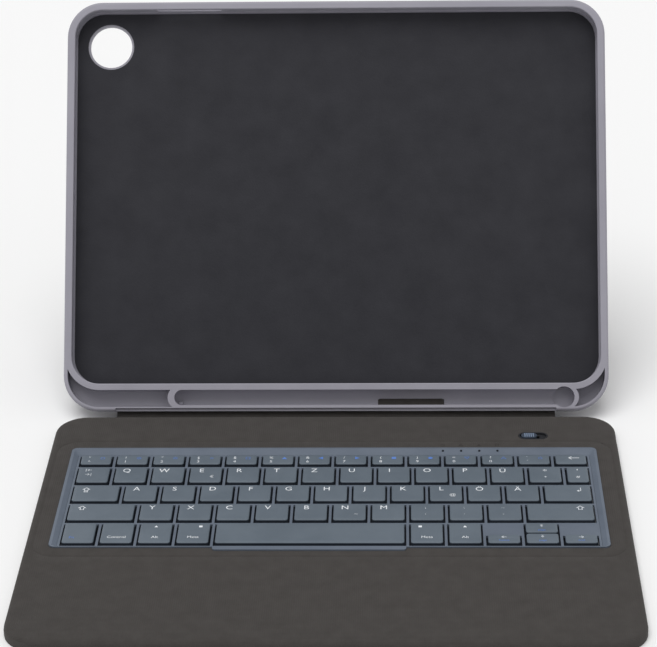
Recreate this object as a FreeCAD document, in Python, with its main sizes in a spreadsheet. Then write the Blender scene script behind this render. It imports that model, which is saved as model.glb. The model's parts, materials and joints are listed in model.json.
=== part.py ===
"""Tablet keyboard case: a cloth-covered keyboard deck, a moulded tray hinged to it and a folding stand.

Millimetres, +Z up. The origin is the middle of the deck's underside; the keys face the user at -Y.
The tray is drawn flat, front face up, with its hinge edge on its own X axis, and then tilted into place.
The stand is drawn the same way, from its own hinge axis.
"""
import FreeCAD, Part
import math
import os
import re
import Sketcher

VECTOR = FreeCAD.Vector
QUARTER_TURN = math.pi / 2
DOC = FreeCAD.newDocument("tablet_keyboard_case")
SHEET = DOC.addObject("Spreadsheet::Sheet", "Sizes")

SIZES = {
    # Deck: two skins on a board, with the top skin's edge turned down to the bottom skin
    "deck_width": 258.0,
    "deck_depth": 188.0,
    "deck_corner": 14.0,
    "skin_thickness": 0.9,
    "board_thickness": 3.2,
    "deck_wall": 1.6,
    "deck_edge_round": 2.0,
    "fit_gap": 0.1,
    # Keyboard: pitches of the key openings, and the rim round them
    "keyboard_setback": 31.7,
    "main_pitch": 16.75,
    "bottom_pitch": 16.3,
    "narrow_opening": 10.9,
    "row_pitch": 16.2,
    "number_row_depth": 9.6,
    "bottom_row_depth": 17.6,
    "web_width": 1.15,
    "web_thickness": 1.0,
    "grid_margin": 1.0,
    "grid_wall": 0.9,
    "grid_corner": 1.2,
    "rim_side": 3.3,
    "rim_rear": 5.3,
    "rim_front": 1.1,
    "rim_flat": 1.2,
    "rim_front_flat": 0.6,
    "rim_corner": 2.6,
    "bezel_rise": 0.6,
    "bezel_flange": 3.0,
    "well_depth": 1.0,
    "thumb_bulge": 2.3,
    "thumb_corner": 1.4,
    # Keys and what they press on
    "key_gap": 0.6,
    "key_corner_cut": 1.0,
    "key_rise": 1.2,
    "key_height": 2.4,
    "key_wall": 0.9,
    "key_draft": 5.0,
    "arrow_gap": 0.5,
    "plate_thickness": 0.5,
    "membrane_thickness": 0.3,
    "dome_sheet_thickness": 0.3,
    "dome_base": 3.6,
    "sheet_clearance": 0.3,
    # Electronics in the strip behind the keys
    "bay_setback": 5.0,
    "bay_depth": 22.0,
    "bay_rib": 6.0,
    "bay_clearance": 0.5,
    "battery_length": 108.0,
    "battery_thickness": 2.8,
    "battery_corner": 2.0,
    "circuit_thickness": 1.0,
    "chip_size": 6.0,
    "chip_height": 0.9,
    "port_setback": 22.0,
    "port_width": 8.9,
    "port_height": 3.1,
    "port_depth": 7.2,
    "port_wall": 0.3,
    "port_inset": 0.4,
    "tongue_width": 6.7,
    "tongue_thickness": 0.7,
    "switch_place": 91.0,
    "switch_setback": 19.7,
    "switch_case_length": 9.0,
    "switch_case_depth": 3.6,
    "surround_length": 13.4,
    "surround_width": 6.4,
    "surround_wall": 0.6,
    "surround_floor": 0.4,
    "knob_length": 7.2,
    "knob_width": 4.4,
    "knob_rise": 0.3,
    "knob_clearance": 0.1,
    "knob_stem": 2.0,
    "knob_travel": 3.6,
    "light_diameter": 1.0,
    "light_pitch": 8.2,
    "light_place": 49.6,
    "light_setback": 2.6,
    "magnet_length": 12.0,
    "magnet_width": 8.0,
    "magnet_thickness": 2.0,
    "magnet_pitch": 60.0,
    "magnet_setback": 10.0,
    # Cloth hinge between deck and tray
    "hinge_gap": 2.2,
    "lid_clearance": 0.6,
    "strip_width": 205.0,
    "strip_thickness": 0.9,
    "strip_flange": 2.1,
    "strip_flange_start": 1.0,
    "bead_diameter": 2.0,
    "bead_clearance": 0.4,
    "tray_strip_start": 4.2,
    # Tray
    "tray_angle": 58.0,
    "pocket_width": 249.2,
    "pocket_height": 180.1,
    "pocket_corner": 13.8,
    "pocket_depth": 7.6,
    "tray_wall": 2.9,
    "lip_overhang": 0.8,
    "lip_thickness": 1.6,
    "lip_round": 0.5,
    "floor_thickness": 2.0,
    "front_round": 1.3,
    "back_round": 4.0,
    "lining_thickness": 0.4,
    "lining_margin": 1.0,
    "lower_wall": 2.7,
    "channel_mouth": 7.2,
    "channel_bore": 9.5,
    "channel_divider": 2.2,
    "channel_left": 76.5,
    "socket_place": 106.6,
    "socket_diameter": 9.8,
    "socket_depth": 8.2,
    "partition": 2.0,
    "relief_wall": 1.9,
    "relief_depth": 8.2,
    "nub_diameter": 2.2,
    "nub_inset": 3.6,
    "window_place": 35.4,
    "window_length": 31.0,
    "window_width": 4.8,
    "camera_diameter": 20.0,
    "camera_inset": 17.0,
    "side_button_height": 155.6,
    "side_button_length": 20.0,
    "top_button_place": 70.0,
    "top_button_length": 32.0,
    "button_slot_width": 4.6,
    "cable_slot_length": 14.0,
    "cable_slot_width": 6.2,
    "speaker_offset": 42.0,
    "speaker_length": 22.0,
    "speaker_width": 3.6,
    # Back panel and stand, which together cover the tray's back
    "panel_margin": 4.5,
    "panel_board": 1.6,
    "panel_skin": 0.8,
    "panel_edge": 1.0,
    "panel_split": 2.6,
    "camera_rim": 2.0,
    "stand_pivot": 108.0,
    "stand_length": 91.5,
    "stand_width": 238.0,
    "stand_corner": 10.0,
    "stand_gap": 0.3,
    "foot_length": 200.0,
    "foot_reach": 2.5,
    "leaf_place": 75.0,
    "leaf_width": 24.0,
    "leaf_length": 12.0,
    "leaf_thickness": 0.6,
    "knuckle_diameter": 2.4,
    "knuckle_width": 8.0,
    "knuckle_gap": 0.2,
    "pin_diameter": 1.6,
    "pin_clearance": 0.05,
}

FORMULAS = {
    # Heights in the deck
    "deck_top": "2 * skin_thickness + board_thickness",
    "board_top": "skin_thickness + board_thickness",
    "bezel_top": "deck_top + bezel_rise",
    "web_top": "bezel_top - well_depth",
    "key_top": "web_top + key_rise",
    "key_foot": "key_top - key_height",
    "plate_top": "skin_thickness + plate_thickness",
    "membrane_top": "plate_top + membrane_thickness",
    "dome_foot": "membrane_top + dome_sheet_thickness",
    "dome_height": "key_top - key_wall - dome_foot",
    "circuit_top": "skin_thickness + circuit_thickness",
    # Key block: widths of its special keys, and the middle of each row
    "block_width": "13 * main_pitch + narrow_opening",
    "block_depth": "number_row_depth + web_width + 3 * row_pitch + bottom_row_depth",
    "number_pitch": "(block_width + web_width) / 14",
    "narrow_pitch": "narrow_opening + web_width",
    "caps_pitch": "(block_width + web_width - 11 * main_pitch) / 2",
    "shift_pitch": "(block_width + web_width - 10 * main_pitch) / 2",
    "space_pitch": "block_width + web_width - 9 * bottom_pitch",
    "main_depth": "row_pitch - web_width",
    "half_depth": "(bottom_row_depth - web_width) / 2",
    "frame_width": "block_width + 2 * (rim_side + fit_gap + grid_margin)",
    "frame_depth": "block_depth + rim_rear + rim_front + 2 * (fit_gap + grid_margin)",
    "frame_rear": "deck_depth / 2 - keyboard_setback",
    "frame_front": "frame_rear - frame_depth",
    "frame_middle": "frame_rear - frame_depth / 2",
    "block_rear": "frame_rear - rim_rear - fit_gap - grid_margin",
    "grid_middle": "block_rear - block_depth / 2",
    "grid_width": "block_width + 2 * grid_margin",
    "grid_depth": "block_depth + 2 * grid_margin",
    "row_one": "block_rear - number_row_depth / 2",
    "row_two": "block_rear - number_row_depth - web_width - main_depth / 2",
    "row_three": "row_two - row_pitch",
    "row_four": "row_three - row_pitch",
    "row_five": "row_four - (row_pitch + web_width + bottom_row_depth) / 2",
    "row_five_front": "row_five - (bottom_row_depth - half_depth) / 2",
    "space_middle": "4 * bottom_pitch + (space_pitch - web_width) / 2 - block_width / 2",
    # Electronics
    "bay_middle": "deck_depth / 2 - bay_setback - bay_depth / 2",
    "battery_middle": "-bay_rib / 2 - bay_clearance - battery_length / 2",
    "magnet_row": "magnet_setback - deck_depth / 2",
    "port_mouth": "deck_width / 2 - port_inset",
    "port_middle": "deck_depth / 2 - port_setback",
    "port_level": "skin_thickness + board_thickness / 2",
    "circuit_left": "bay_rib / 2 + bay_clearance",
    "circuit_right": "port_mouth - port_depth",
    "circuit_depth": "bay_depth - 2 * bay_clearance",
    "switch_middle": "deck_depth / 2 - switch_setback",
    "switch_top": "deck_top - skin_thickness - surround_floor",
    "recess_floor": "switch_top + surround_floor",
    "light_row": "frame_rear - light_setback",
    # Hinge axis, on the plane of the tray's front face when it is shut on the keys
    "hinge_y": "deck_depth / 2 + hinge_gap",
    "hinge_z": "key_top + lid_clearance",
    # Tray
    "tray_thickness": "lip_thickness + pocket_depth + floor_thickness",
    "tray_width": "pocket_width + 2 * tray_wall",
    "pocket_foot": "lower_wall + channel_mouth + channel_divider",
    "pocket_middle": "pocket_foot + pocket_height / 2",
    "tray_height": "pocket_foot + pocket_height + tray_wall",
    "tray_corner": "pocket_corner + tray_wall",
    "channel_middle": "lower_wall + channel_mouth / 2",
    "channel_sink": "sqrt(channel_bore^2 - channel_mouth^2) / 2",
    "slot_level": "lip_thickness + (pocket_depth - lining_thickness) / 2",
    "camera_x": "camera_inset - pocket_width / 2",
    "camera_y": "pocket_foot + pocket_height - camera_inset",
    # Back panel and stand
    "panel_thickness": "panel_board + panel_skin",
    "axis_depth": "stand_gap + panel_thickness / 2",
    "axis_sink": "tray_thickness + axis_depth",
    "pivot_y": "hinge_y + stand_pivot * cos(tray_angle) + axis_sink * sin(tray_angle)",
    "pivot_z": "hinge_z + stand_pivot * sin(tray_angle) - axis_sink * cos(tray_angle)",
    "foot_round": "panel_thickness / 2",
    "stand_reach": "stand_length + foot_reach - foot_round",
    "stand_angle": "90 deg + acos((pivot_z - foot_round) / stand_reach)",
    "bore_diameter": "pin_diameter + 2 * pin_clearance",
}

# Runs of equal keys: names, pitch of the openings, start from the block's left, row's middle, depth
KEY_RUNS = [
    (["number_%d" % place for place in range(14)], "number_pitch", "0", "row_one", "number_row_depth"),
    (["tab"] + list("qwertzuiop") + ["row_two_end", "plus"], "main_pitch", "0", "row_two", "main_depth"),
    (["hash"], "narrow_pitch", "13 * main_pitch", "row_two", "main_depth"),
    (["caps"], "caps_pitch", "0", "row_three", "main_depth"),
    (list("asdfghjkl") + ["row_three_end", "quote"], "main_pitch", "caps_pitch", "row_three", "main_depth"),
    (["enter"], "caps_pitch", "caps_pitch + 11 * main_pitch", "row_three", "main_depth"),
    (["left_shift"], "shift_pitch", "0", "row_four", "main_depth"),
    (list("yxcvbnm") + ["comma", "stop", "dash"], "main_pitch", "shift_pitch", "row_four", "main_depth"),
    (["right_shift"], "shift_pitch", "shift_pitch + 10 * main_pitch", "row_four", "main_depth"),
    (["function", "control", "left_alt", "left_meta"], "bottom_pitch", "0", "row_five", "bottom_row_depth"),
    (["space"], "space_pitch", "4 * bottom_pitch", "row_five", "bottom_row_depth"),
    (["right_meta", "right_alt"], "bottom_pitch", "4 * bottom_pitch + space_pitch", "row_five",
     "bottom_row_depth"),
    (["left_arrow"], "bottom_pitch", "6 * bottom_pitch + space_pitch", "row_five_front", "half_depth"),
    (["up_down"], "bottom_pitch", "7 * bottom_pitch + space_pitch", "row_five", "bottom_row_depth"),
    (["right_arrow"], "bottom_pitch", "8 * bottom_pitch + space_pitch", "row_five_front", "half_depth"),
]


def formula(text):
    """Spell out a formula in terms of the sheet's cells."""
    def spell(match):
        word = match.group(0)
        if word in FORMULAS:
            return f"({formula(FORMULAS[word])})"
        return f"Sizes.{word}" if word in SIZES else word
    return re.sub(r"[a-z][a-z_0-9]*", spell, text)


def value(text):
    """The number that a formula gives now."""
    found = SHEET.evalExpression(formula(text))
    return getattr(found, "Value", found)


def bind(thing, setting, text):
    thing.setExpression(setting, formula(text))


def fill_sheet():
    for row, (alias, number) in enumerate(SIZES.items(), start=1):
        SHEET.set(f"A{row}", alias)
        SHEET.set(f"B{row}", str(number))
        SHEET.setAlias(f"B{row}", alias)
    DOC.recompute()


# Bodies, sketches and features

def new_body(label):
    body = DOC.addObject("PartDesign::Body", label)
    body.Label = label
    body.AllowCompound = True
    return body


def place(thing, x="0", y="0", z="0", turn="0"):
    """Put a piece at a point, turned about the X axis."""
    spin = FreeCAD.Rotation(VECTOR(1, 0, 0), value(turn))
    thing.Placement = FreeCAD.Placement(VECTOR(0, 0, 0), spin)
    for axis, text in zip("xyz", (x, y, z)):
        bind(thing, f"Placement.Base.{axis}", text)
    if turn != "0":
        bind(thing, "Placement.Rotation.Angle", turn)
    return thing


def in_tray(thing):
    return place(thing, "0", "hinge_y", "hinge_z", "tray_angle")


def in_stand(thing):
    return place(thing, "0", "pivot_y", "pivot_z", "stand_angle")


def new_sketch(body, plane, at):
    sketch = body.newObject("Sketcher::SketchObject", f"{body.Name}_sketch")
    base = [item for item in body.Origin.OriginFeatures if item.Role == plane][0]
    sketch.AttachmentSupport = (base, [""])
    sketch.MapMode = "FlatFace"
    for axis, text in zip("xyz", at):
        bind(sketch, f"AttachmentOffset.Base.{axis}", text)
    return sketch


def add_sizes(sketch, sizes):
    """Add named dimensions, each a constraint's own arguments and the formula that drives it."""
    for name, (arguments, text) in sizes.items():
        place_in_list = sketch.addConstraint(Sketcher.Constraint(*arguments, value(text)))
        sketch.renameConstraint(place_in_list, name)
        bind(sketch, f"Constraints.{name}", text)


def rectangle(body, wide, deep, at=("0", "0", "0"), plane="XY_Plane"):
    sketch = new_sketch(body, plane, at)
    half_x = value(wide) / 2
    half_y = value(deep) / 2
    signs = [(-1, -1), (1, -1), (1, 1), (-1, 1)]
    corners = [VECTOR(across * half_x, along * half_y) for across, along in signs]
    for index in range(4):
        sketch.addGeometry(Part.LineSegment(corners[index], corners[(index + 1) % 4]), False)
    rules = [Sketcher.Constraint("Coincident", index, 2, (index + 1) % 4, 1) for index in range(4)]
    rules += [Sketcher.Constraint("Horizontal", 0), Sketcher.Constraint("Horizontal", 2)]
    rules += [Sketcher.Constraint("Vertical", 1), Sketcher.Constraint("Vertical", 3)]
    sketch.addConstraint(rules)
    add_sizes(sketch, {
        "wide": (("DistanceX", 0, 1, 0, 2), wide),
        "deep": (("DistanceY", 1, 1, 1, 2), deep),
        "half_wide": (("DistanceX", -1, 1, 1, 1), f"({wide}) / 2"),
        "half_deep": (("DistanceY", -1, 1, 2, 1), f"({deep}) / 2"),
    })
    return sketch


def outline(body, wide, deep, corner, at=("0", "0", "0"), plane="XY_Plane"):
    """A rectangle with round corners, about the sketch's origin."""
    sketch = new_sketch(body, plane, at)
    half_x = value(wide) / 2
    half_y = value(deep) / 2
    bend = value(corner)
    ends = [(1, -1), (1, 1), (-1, 1), (-1, -1)]
    sides = [
        (VECTOR(bend - half_x, -half_y), VECTOR(half_x - bend, -half_y)),
        (VECTOR(half_x, bend - half_y), VECTOR(half_x, half_y - bend)),
        (VECTOR(half_x - bend, half_y), VECTOR(bend - half_x, half_y)),
        (VECTOR(-half_x, half_y - bend), VECTOR(-half_x, bend - half_y)),
    ]
    for index, (start, end) in enumerate(sides):
        sketch.addGeometry(Part.LineSegment(start, end), False)
        middle = VECTOR(ends[index][0] * (half_x - bend), ends[index][1] * (half_y - bend))
        circle = Part.Circle(middle, VECTOR(0, 0, 1), bend)
        sketch.addGeometry(Part.ArcOfCircle(circle, (index - 1) * QUARTER_TURN, index * QUARTER_TURN), False)
    rules = [Sketcher.Constraint("Tangent", index, 2, (index + 1) % 8, 1) for index in range(8)]
    rules += [Sketcher.Constraint("Horizontal", 0), Sketcher.Constraint("Horizontal", 4)]
    rules += [Sketcher.Constraint("Vertical", 2), Sketcher.Constraint("Vertical", 6)]
    rules += [Sketcher.Constraint("Equal", 1, index) for index in (3, 5, 7)]
    sketch.addConstraint(rules)
    add_sizes(sketch, {
        "corner": (("Radius", 1), corner),
        "wide": (("DistanceX", 6, 1, 2, 1), wide),
        "deep": (("DistanceY", 0, 1, 4, 1), deep),
        "half_wide": (("DistanceX", -1, 1, 2, 1), f"({wide}) / 2"),
        "half_deep": (("DistanceY", -1, 1, 4, 1), f"({deep}) / 2"),
    })
    return sketch


def slot(body, length, wide, at=("0", "0", "0"), plane="XY_Plane"):
    """A slot with half-round ends, its length along the sketch's X."""
    sketch = new_sketch(body, plane, at)
    bend = value(wide) / 2
    reach = value(length) / 2 - bend
    sketch.addGeometry(Part.LineSegment(VECTOR(-reach, -bend), VECTOR(reach, -bend)), False)
    right = Part.Circle(VECTOR(reach, 0), VECTOR(0, 0, 1), bend)
    sketch.addGeometry(Part.ArcOfCircle(right, -QUARTER_TURN, QUARTER_TURN), False)
    sketch.addGeometry(Part.LineSegment(VECTOR(reach, bend), VECTOR(-reach, bend)), False)
    left = Part.Circle(VECTOR(-reach, 0), VECTOR(0, 0, 1), bend)
    sketch.addGeometry(Part.ArcOfCircle(left, QUARTER_TURN, 3 * QUARTER_TURN), False)
    rules = [Sketcher.Constraint("Tangent", index, 2, (index + 1) % 4, 1) for index in range(4)]
    rules += [Sketcher.Constraint("Horizontal", 0), Sketcher.Constraint("PointOnObject", 1, 3, -1)]
    sketch.addConstraint(rules)
    add_sizes(sketch, {
        "bend": (("Radius", 1), f"({wide}) / 2"),
        "right_end": (("DistanceX", -1, 1, 1, 3), f"(({length}) - ({wide})) / 2"),
        "left_end": (("DistanceX", 3, 3, -1, 1), f"(({length}) - ({wide})) / 2"),
    })
    return sketch


def disc(body, diameter, at=("0", "0", "0"), plane="XY_Plane"):
    sketch = new_sketch(body, plane, at)
    sketch.addGeometry(Part.Circle(VECTOR(0, 0, 0), VECTOR(0, 0, 1), value(diameter) / 2), False)
    sketch.addConstraint(Sketcher.Constraint("Coincident", 0, 3, -1, 1))
    add_sizes(sketch, {"across": (("Diameter", 0), diameter)})
    return sketch


def pad(body, sketch, length, down=False, both_ways=False):
    feature = body.newObject("PartDesign::Pad", f"{body.Name}_pad")
    feature.Profile = sketch
    feature.Reversed = down
    feature.Midplane = both_ways
    bind(feature, "Length", length)
    return feature


def pocket(body, sketch, depth, up=False, both_ways=False):
    """Cut a sketch into the body, downwards from its plane or upwards."""
    feature = body.newObject("PartDesign::Pocket", f"{body.Name}_pocket")
    feature.Profile = sketch
    feature.Reversed = up
    feature.Midplane = both_ways
    bind(feature, "Length", depth)
    return feature


def along_row(body, feature, sketch, pitch, count):
    """Repeat a feature along the sketch's X."""
    pattern = body.newObject("PartDesign::LinearPattern", f"{body.Name}_row")
    pattern.Originals = [feature]
    pattern.Direction = (sketch, ["H_Axis"])
    bind(pattern, "Length", f"({pitch}) * {count - 1}")
    pattern.Occurrences = count
    body.Tip = pattern


def round_edges(body, base, radius, wanted):
    """Fillet the edges of a feature that a test picks."""
    DOC.recompute()
    names = [f"Edge{index}" for index, edge in enumerate(base.Shape.Edges, start=1) if wanted(edge)]
    feature = body.newObject("PartDesign::Fillet", f"{body.Name}_round")
    feature.Base = (base, names)
    bind(feature, "Radius", radius)
    return feature


def cut_upright_edges(body, base, size):
    """Cut the edges of a feature that stand upright."""
    DOC.recompute()
    edges = enumerate(base.Shape.Edges, start=1)
    names = [f"Edge{index}" for index, edge in edges if edge.BoundBox.ZLength > 0.9 * edge.Length]
    feature = body.newObject("PartDesign::Chamfer", f"{body.Name}_corners")
    feature.Base = (base, names)
    bind(feature, "Size", size)
    return feature


def draft_sides(body, base, angle):
    """Lean the upright faces of a feature inwards, from the body's base plane up."""
    DOC.recompute()
    faces = enumerate(base.Shape.Faces, start=1)
    names = [f"Face{index}" for index, face in faces if abs(face.normalAt(0, 0).z) < 1e-6]
    feature = body.newObject("PartDesign::Draft", f"{body.Name}_draft")
    feature.Base = (base, names)
    ground = [item for item in body.Origin.OriginFeatures if item.Role == "XY_Plane"][0]
    feature.NeutralPlane = (ground, [""])
    bind(feature, "Angle", angle)
    return feature


def level_at(height):
    """A test for edges that lie flat at a height."""
    level = value(height)
    return lambda edge: max(abs(edge.BoundBox.ZMin - level), abs(edge.BoundBox.ZMax - level)) < 1e-6


def cut(label, base, tools):
    """Take tools away from a piece, and give what is left its name."""
    joined = tools[0]
    if len(tools) > 1:
        joined = DOC.addObject("Part::MultiFuse", f"{label}_tools")
        joined.Shapes = tools
    result = DOC.addObject("Part::Cut", label)
    result.Base = base
    result.Tool = joined
    result.Label = label
    return result


def rod(diameter, length, x, y, z):
    """A cylinder along X, about its middle."""
    cylinder = DOC.addObject("Part::Cylinder", "rod")
    bind(cylinder, "Radius", f"({diameter}) / 2")
    bind(cylinder, "Height", length)
    cylinder.Placement = FreeCAD.Placement(VECTOR(0, 0, 0), FreeCAD.Rotation(VECTOR(0, 1, 0), 90))
    for axis, text in zip("xyz", (f"({x}) - ({length}) / 2", y, z)):
        bind(cylinder, f"Placement.Base.{axis}", text)
    return cylinder


def ball(diameter, x, y, z):
    sphere = DOC.addObject("Part::Sphere", "ball")
    bind(sphere, "Radius", f"({diameter}) / 2")
    return place(sphere, x, y, z)


# Deck

def deck_bottom_skin():
    body = new_body("deck_bottom_skin")
    pad(body, outline(body, "deck_width", "deck_depth", "deck_corner"), "skin_thickness")
    return body


def deck_top_skin():
    body = new_body("deck_top_skin")
    foot = ("0", "0", "skin_thickness")
    face = outline(body, "deck_width", "deck_depth", "deck_corner", foot)
    sheet = pad(body, face, "deck_top - skin_thickness")
    round_edges(body, sheet, "deck_edge_round", level_at("deck_top"))
    hollow = outline(body, "deck_width - 2 * deck_wall", "deck_depth - 2 * deck_wall",
                     "deck_corner - deck_wall", foot)
    pocket(body, hollow, "board_thickness", up=True)
    top = "deck_top"
    opening = outline(body, "frame_width + 2 * fit_gap", "frame_depth + 2 * fit_gap", "rim_corner + fit_gap",
                      ("0", "frame_middle", top))
    pocket(body, opening, "skin_thickness")
    thumb = outline(body, "space_pitch - web_width + 2 * fit_gap", "2 * (thumb_bulge + fit_gap)",
                    "thumb_corner + fit_gap", ("space_middle", "frame_front", top))
    pocket(body, thumb, "skin_thickness")
    window = slot(body, "surround_length + 2 * fit_gap", "surround_width + 2 * fit_gap",
                  ("switch_place", "switch_middle", top))
    pocket(body, window, "skin_thickness")
    mouth = slot(body, "port_width + 4 * fit_gap", "port_height",
                 ("port_middle", "port_level", "deck_width / 2"), "YZ_Plane")
    pocket(body, mouth, "deck_wall")
    return body


def deck_board():
    body = new_body("deck_board")
    foot = ("0", "0", "skin_thickness")
    inset = "(deck_wall + fit_gap)"
    sheet = outline(body, f"deck_width - 2 * {inset}", f"deck_depth - 2 * {inset}",
                    f"deck_corner - {inset}", foot)
    pad(body, sheet, "board_thickness")
    reach = "(bezel_flange + fit_gap)"
    opening = outline(body, f"frame_width + 2 * {reach}", f"frame_depth + 2 * {reach}",
                      f"rim_corner + {reach}", ("0", "frame_middle", "skin_thickness"))
    pocket(body, opening, "board_thickness", up=True)
    battery_bay = rectangle(body, "battery_length + 2 * bay_clearance", "bay_depth",
                            ("battery_middle", "bay_middle", "skin_thickness"))
    pocket(body, battery_bay, "board_thickness", up=True)
    circuit_bay = rectangle(body, "deck_width / 2 - bay_rib / 2", "bay_depth",
                            ("deck_width / 4 + bay_rib / 4", "bay_middle", "skin_thickness"))
    pocket(body, circuit_bay, "board_thickness", up=True)
    hole = rectangle(body, "magnet_length + 2 * fit_gap", "magnet_width + 2 * fit_gap",
                     ("-1.5 * magnet_pitch", "magnet_row", "skin_thickness"))
    along_row(body, pocket(body, hole, "board_thickness", up=True), hole, "magnet_pitch", 4)
    return body


def closing_magnets():
    body = new_body("closing_magnets")
    face = rectangle(body, "magnet_length", "magnet_width",
                     ("-1.5 * magnet_pitch", "magnet_row", "skin_thickness"))
    along_row(body, pad(body, face, "magnet_thickness"), face, "magnet_pitch", 4)
    return body


# Keyboard

def keyboard_bezel():
    body = new_body("keyboard_bezel")
    flange = outline(body, "frame_width + 2 * bezel_flange", "frame_depth + 2 * bezel_flange",
                     "rim_corner + bezel_flange", ("0", "frame_middle", "plate_top"))
    pad(body, flange, "board_top - plate_top")
    rim = outline(body, "frame_width", "frame_depth", "rim_corner", ("0", "frame_middle", "board_top"))
    pad(body, rim, "bezel_top - board_top")
    thumb = outline(body, "space_pitch - web_width", "2 * thumb_bulge", "thumb_corner",
                    ("space_middle", "frame_front", "board_top"))
    pad(body, thumb, "bezel_top - board_top")
    opening = outline(body, "grid_width + 2 * fit_gap", "grid_depth + 2 * fit_gap", "grid_corner + fit_gap",
                      ("0", "grid_middle", "bezel_top"))
    pocket(body, opening, "bezel_top - plate_top")
    slope_top = outline(body, "frame_width - 2 * rim_flat", "frame_depth - rim_flat - rim_front_flat",
                        "rim_corner - rim_flat / 2",
                        ("0", "frame_middle + (rim_front_flat - rim_flat) / 2", "bezel_top"))
    slope_foot = outline(body, "grid_width + 2 * fit_gap", "grid_depth + 2 * fit_gap",
                         "grid_corner + fit_gap", ("0", "grid_middle", "web_top"))
    slope = body.newObject("PartDesign::SubtractiveLoft", "rim_slope")
    slope.Profile = slope_top
    slope.Sections = [slope_foot]
    slope.Ruled = True
    hole = disc(body, "light_diameter + fit_gap", ("light_place", "light_row", "bezel_top"))
    along_row(body, pocket(body, hole, "bezel_top - plate_top"), hole, "light_pitch", 4)
    return body


def light_pipes():
    body = new_body("light_pipes")
    face = disc(body, "light_diameter", ("light_place", "light_row", "plate_top"))
    along_row(body, pad(body, face, "bezel_top - plate_top"), face, "light_pitch", 4)
    return body


def run_start(run):
    """Left edge of a run's first opening."""
    return f"({run[2]}) - block_width / 2"


def key_grid():
    body = new_body("key_grid")
    foot = ("0", "grid_middle", "plate_top")
    pad(body, outline(body, "grid_width", "grid_depth", "grid_corner", foot), "web_top - plate_top")
    hollow = rectangle(body, "grid_width - 2 * grid_wall", "grid_depth - 2 * grid_wall", foot)
    pocket(body, hollow, "web_top - web_thickness - plate_top", up=True)
    for run in KEY_RUNS:
        names, pitch, start, row, deep = run
        wide = f"{pitch} - web_width"
        opening = rectangle(body, wide, deep, (f"{run_start(run)} + ({wide}) / 2", row, "web_top"))
        feature = pocket(body, opening, "web_thickness")
        if len(names) > 1:
            along_row(body, feature, opening, pitch, len(names))
    return body


def key_base_plate():
    body = new_body("key_base_plate")
    sheet = outline(body, "frame_width + 2 * bezel_flange", "frame_depth + 2 * bezel_flange",
                    "rim_corner + bezel_flange", ("0", "frame_middle", "skin_thickness"))
    pad(body, sheet, "plate_thickness")
    return body


def under_key_sheet(body, level, thickness):
    inset = "2 * (grid_wall + sheet_clearance)"
    sheet = rectangle(body, f"grid_width - {inset}", f"grid_depth - {inset}", ("0", "grid_middle", level))
    return pad(body, sheet, thickness)


def key_membrane():
    body = new_body("key_membrane")
    under_key_sheet(body, "plate_top", "membrane_thickness")
    return body


def rubber_domes(keys):
    """One sheet with a square boss under each key, where the rubber rises."""
    body = new_body("rubber_domes")
    under_key_sheet(body, "membrane_top", "dome_sheet_thickness")
    for x, y, pitch, count in keys:
        face = rectangle(body, "dome_base", "dome_base", (x, y, "dome_foot"))
        dome = pad(body, face, "dome_height")
        if count > 1:
            along_row(body, dome, face, pitch, count)
    return body


def cap_form(wide, deep):
    """A hollow cap with cut corners and drafted sides, open below."""
    body = new_body("cap_form")
    block = pad(body, rectangle(body, wide, deep), "key_height")
    draft_sides(body, cut_upright_edges(body, block, "key_corner_cut"), "key_draft")
    hollow = rectangle(body, f"({wide}) - 2 * key_wall", f"({deep}) - 2 * key_wall")
    pocket(body, hollow, "key_height - key_wall", up=True)
    return body


def key_cap(label, form, x, y):
    """One key, a copy of its form at its place in the block."""
    key = DOC.addObject("Part::Compound", label)
    key.Label = label
    key.Links = [form]
    return place(key, x, y, "key_foot")


def all_keys():
    """Every cap by name, and where each line of domes starts."""
    caps = {}
    domes = []
    for run in KEY_RUNS:
        names, pitch, start, row, deep = run
        wide = f"{pitch} - web_width - 2 * key_gap"
        first = f"{run_start(run)} + ({pitch} - web_width) / 2"
        if names == ["up_down"]:
            half = "((bottom_row_depth - arrow_gap) / 2 - key_gap)"
            shift = f"({half} + arrow_gap) / 2"
            form = cap_form(wide, half)
            for name, sign in (("up_arrow", "+"), ("down_arrow", "-")):
                middle = f"row_five {sign} {shift}"
                caps[name] = key_cap(f"key_{name}", form, first, middle)
                domes.append((first, middle, pitch, 1))
            continue
        form = cap_form(wide, f"{deep} - 2 * key_gap")
        for index, name in enumerate(names):
            x = f"{first} + {index} * ({pitch})"
            caps[name] = key_cap(f"key_{name}", form, x, row)
        domes.append((first, row, pitch, len(names)))
    return caps, domes


def key_group(label, caps):
    group = DOC.addObject("Part::Compound", label)
    group.Label = label
    group.Links = caps
    return group


# Electronics

def battery_cell():
    body = new_body("battery_cell")
    face = outline(body, "battery_length", "circuit_depth", "battery_corner",
                   ("battery_middle", "bay_middle", "skin_thickness"))
    pad(body, face, "battery_thickness")
    return body


def controller_board():
    body = new_body("controller_board")
    middle = "(circuit_left + circuit_right) / 2"
    face = rectangle(body, "circuit_right - circuit_left", "circuit_depth",
                     (middle, "bay_middle", "skin_thickness"))
    pad(body, face, "circuit_thickness")
    chip = rectangle(body, "chip_size", "chip_size",
                     ("circuit_left + 3 * chip_size", "bay_middle", "circuit_top"))
    along_row(body, pad(body, chip, "chip_height"), chip, "2 * chip_size", 3)
    return body


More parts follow.
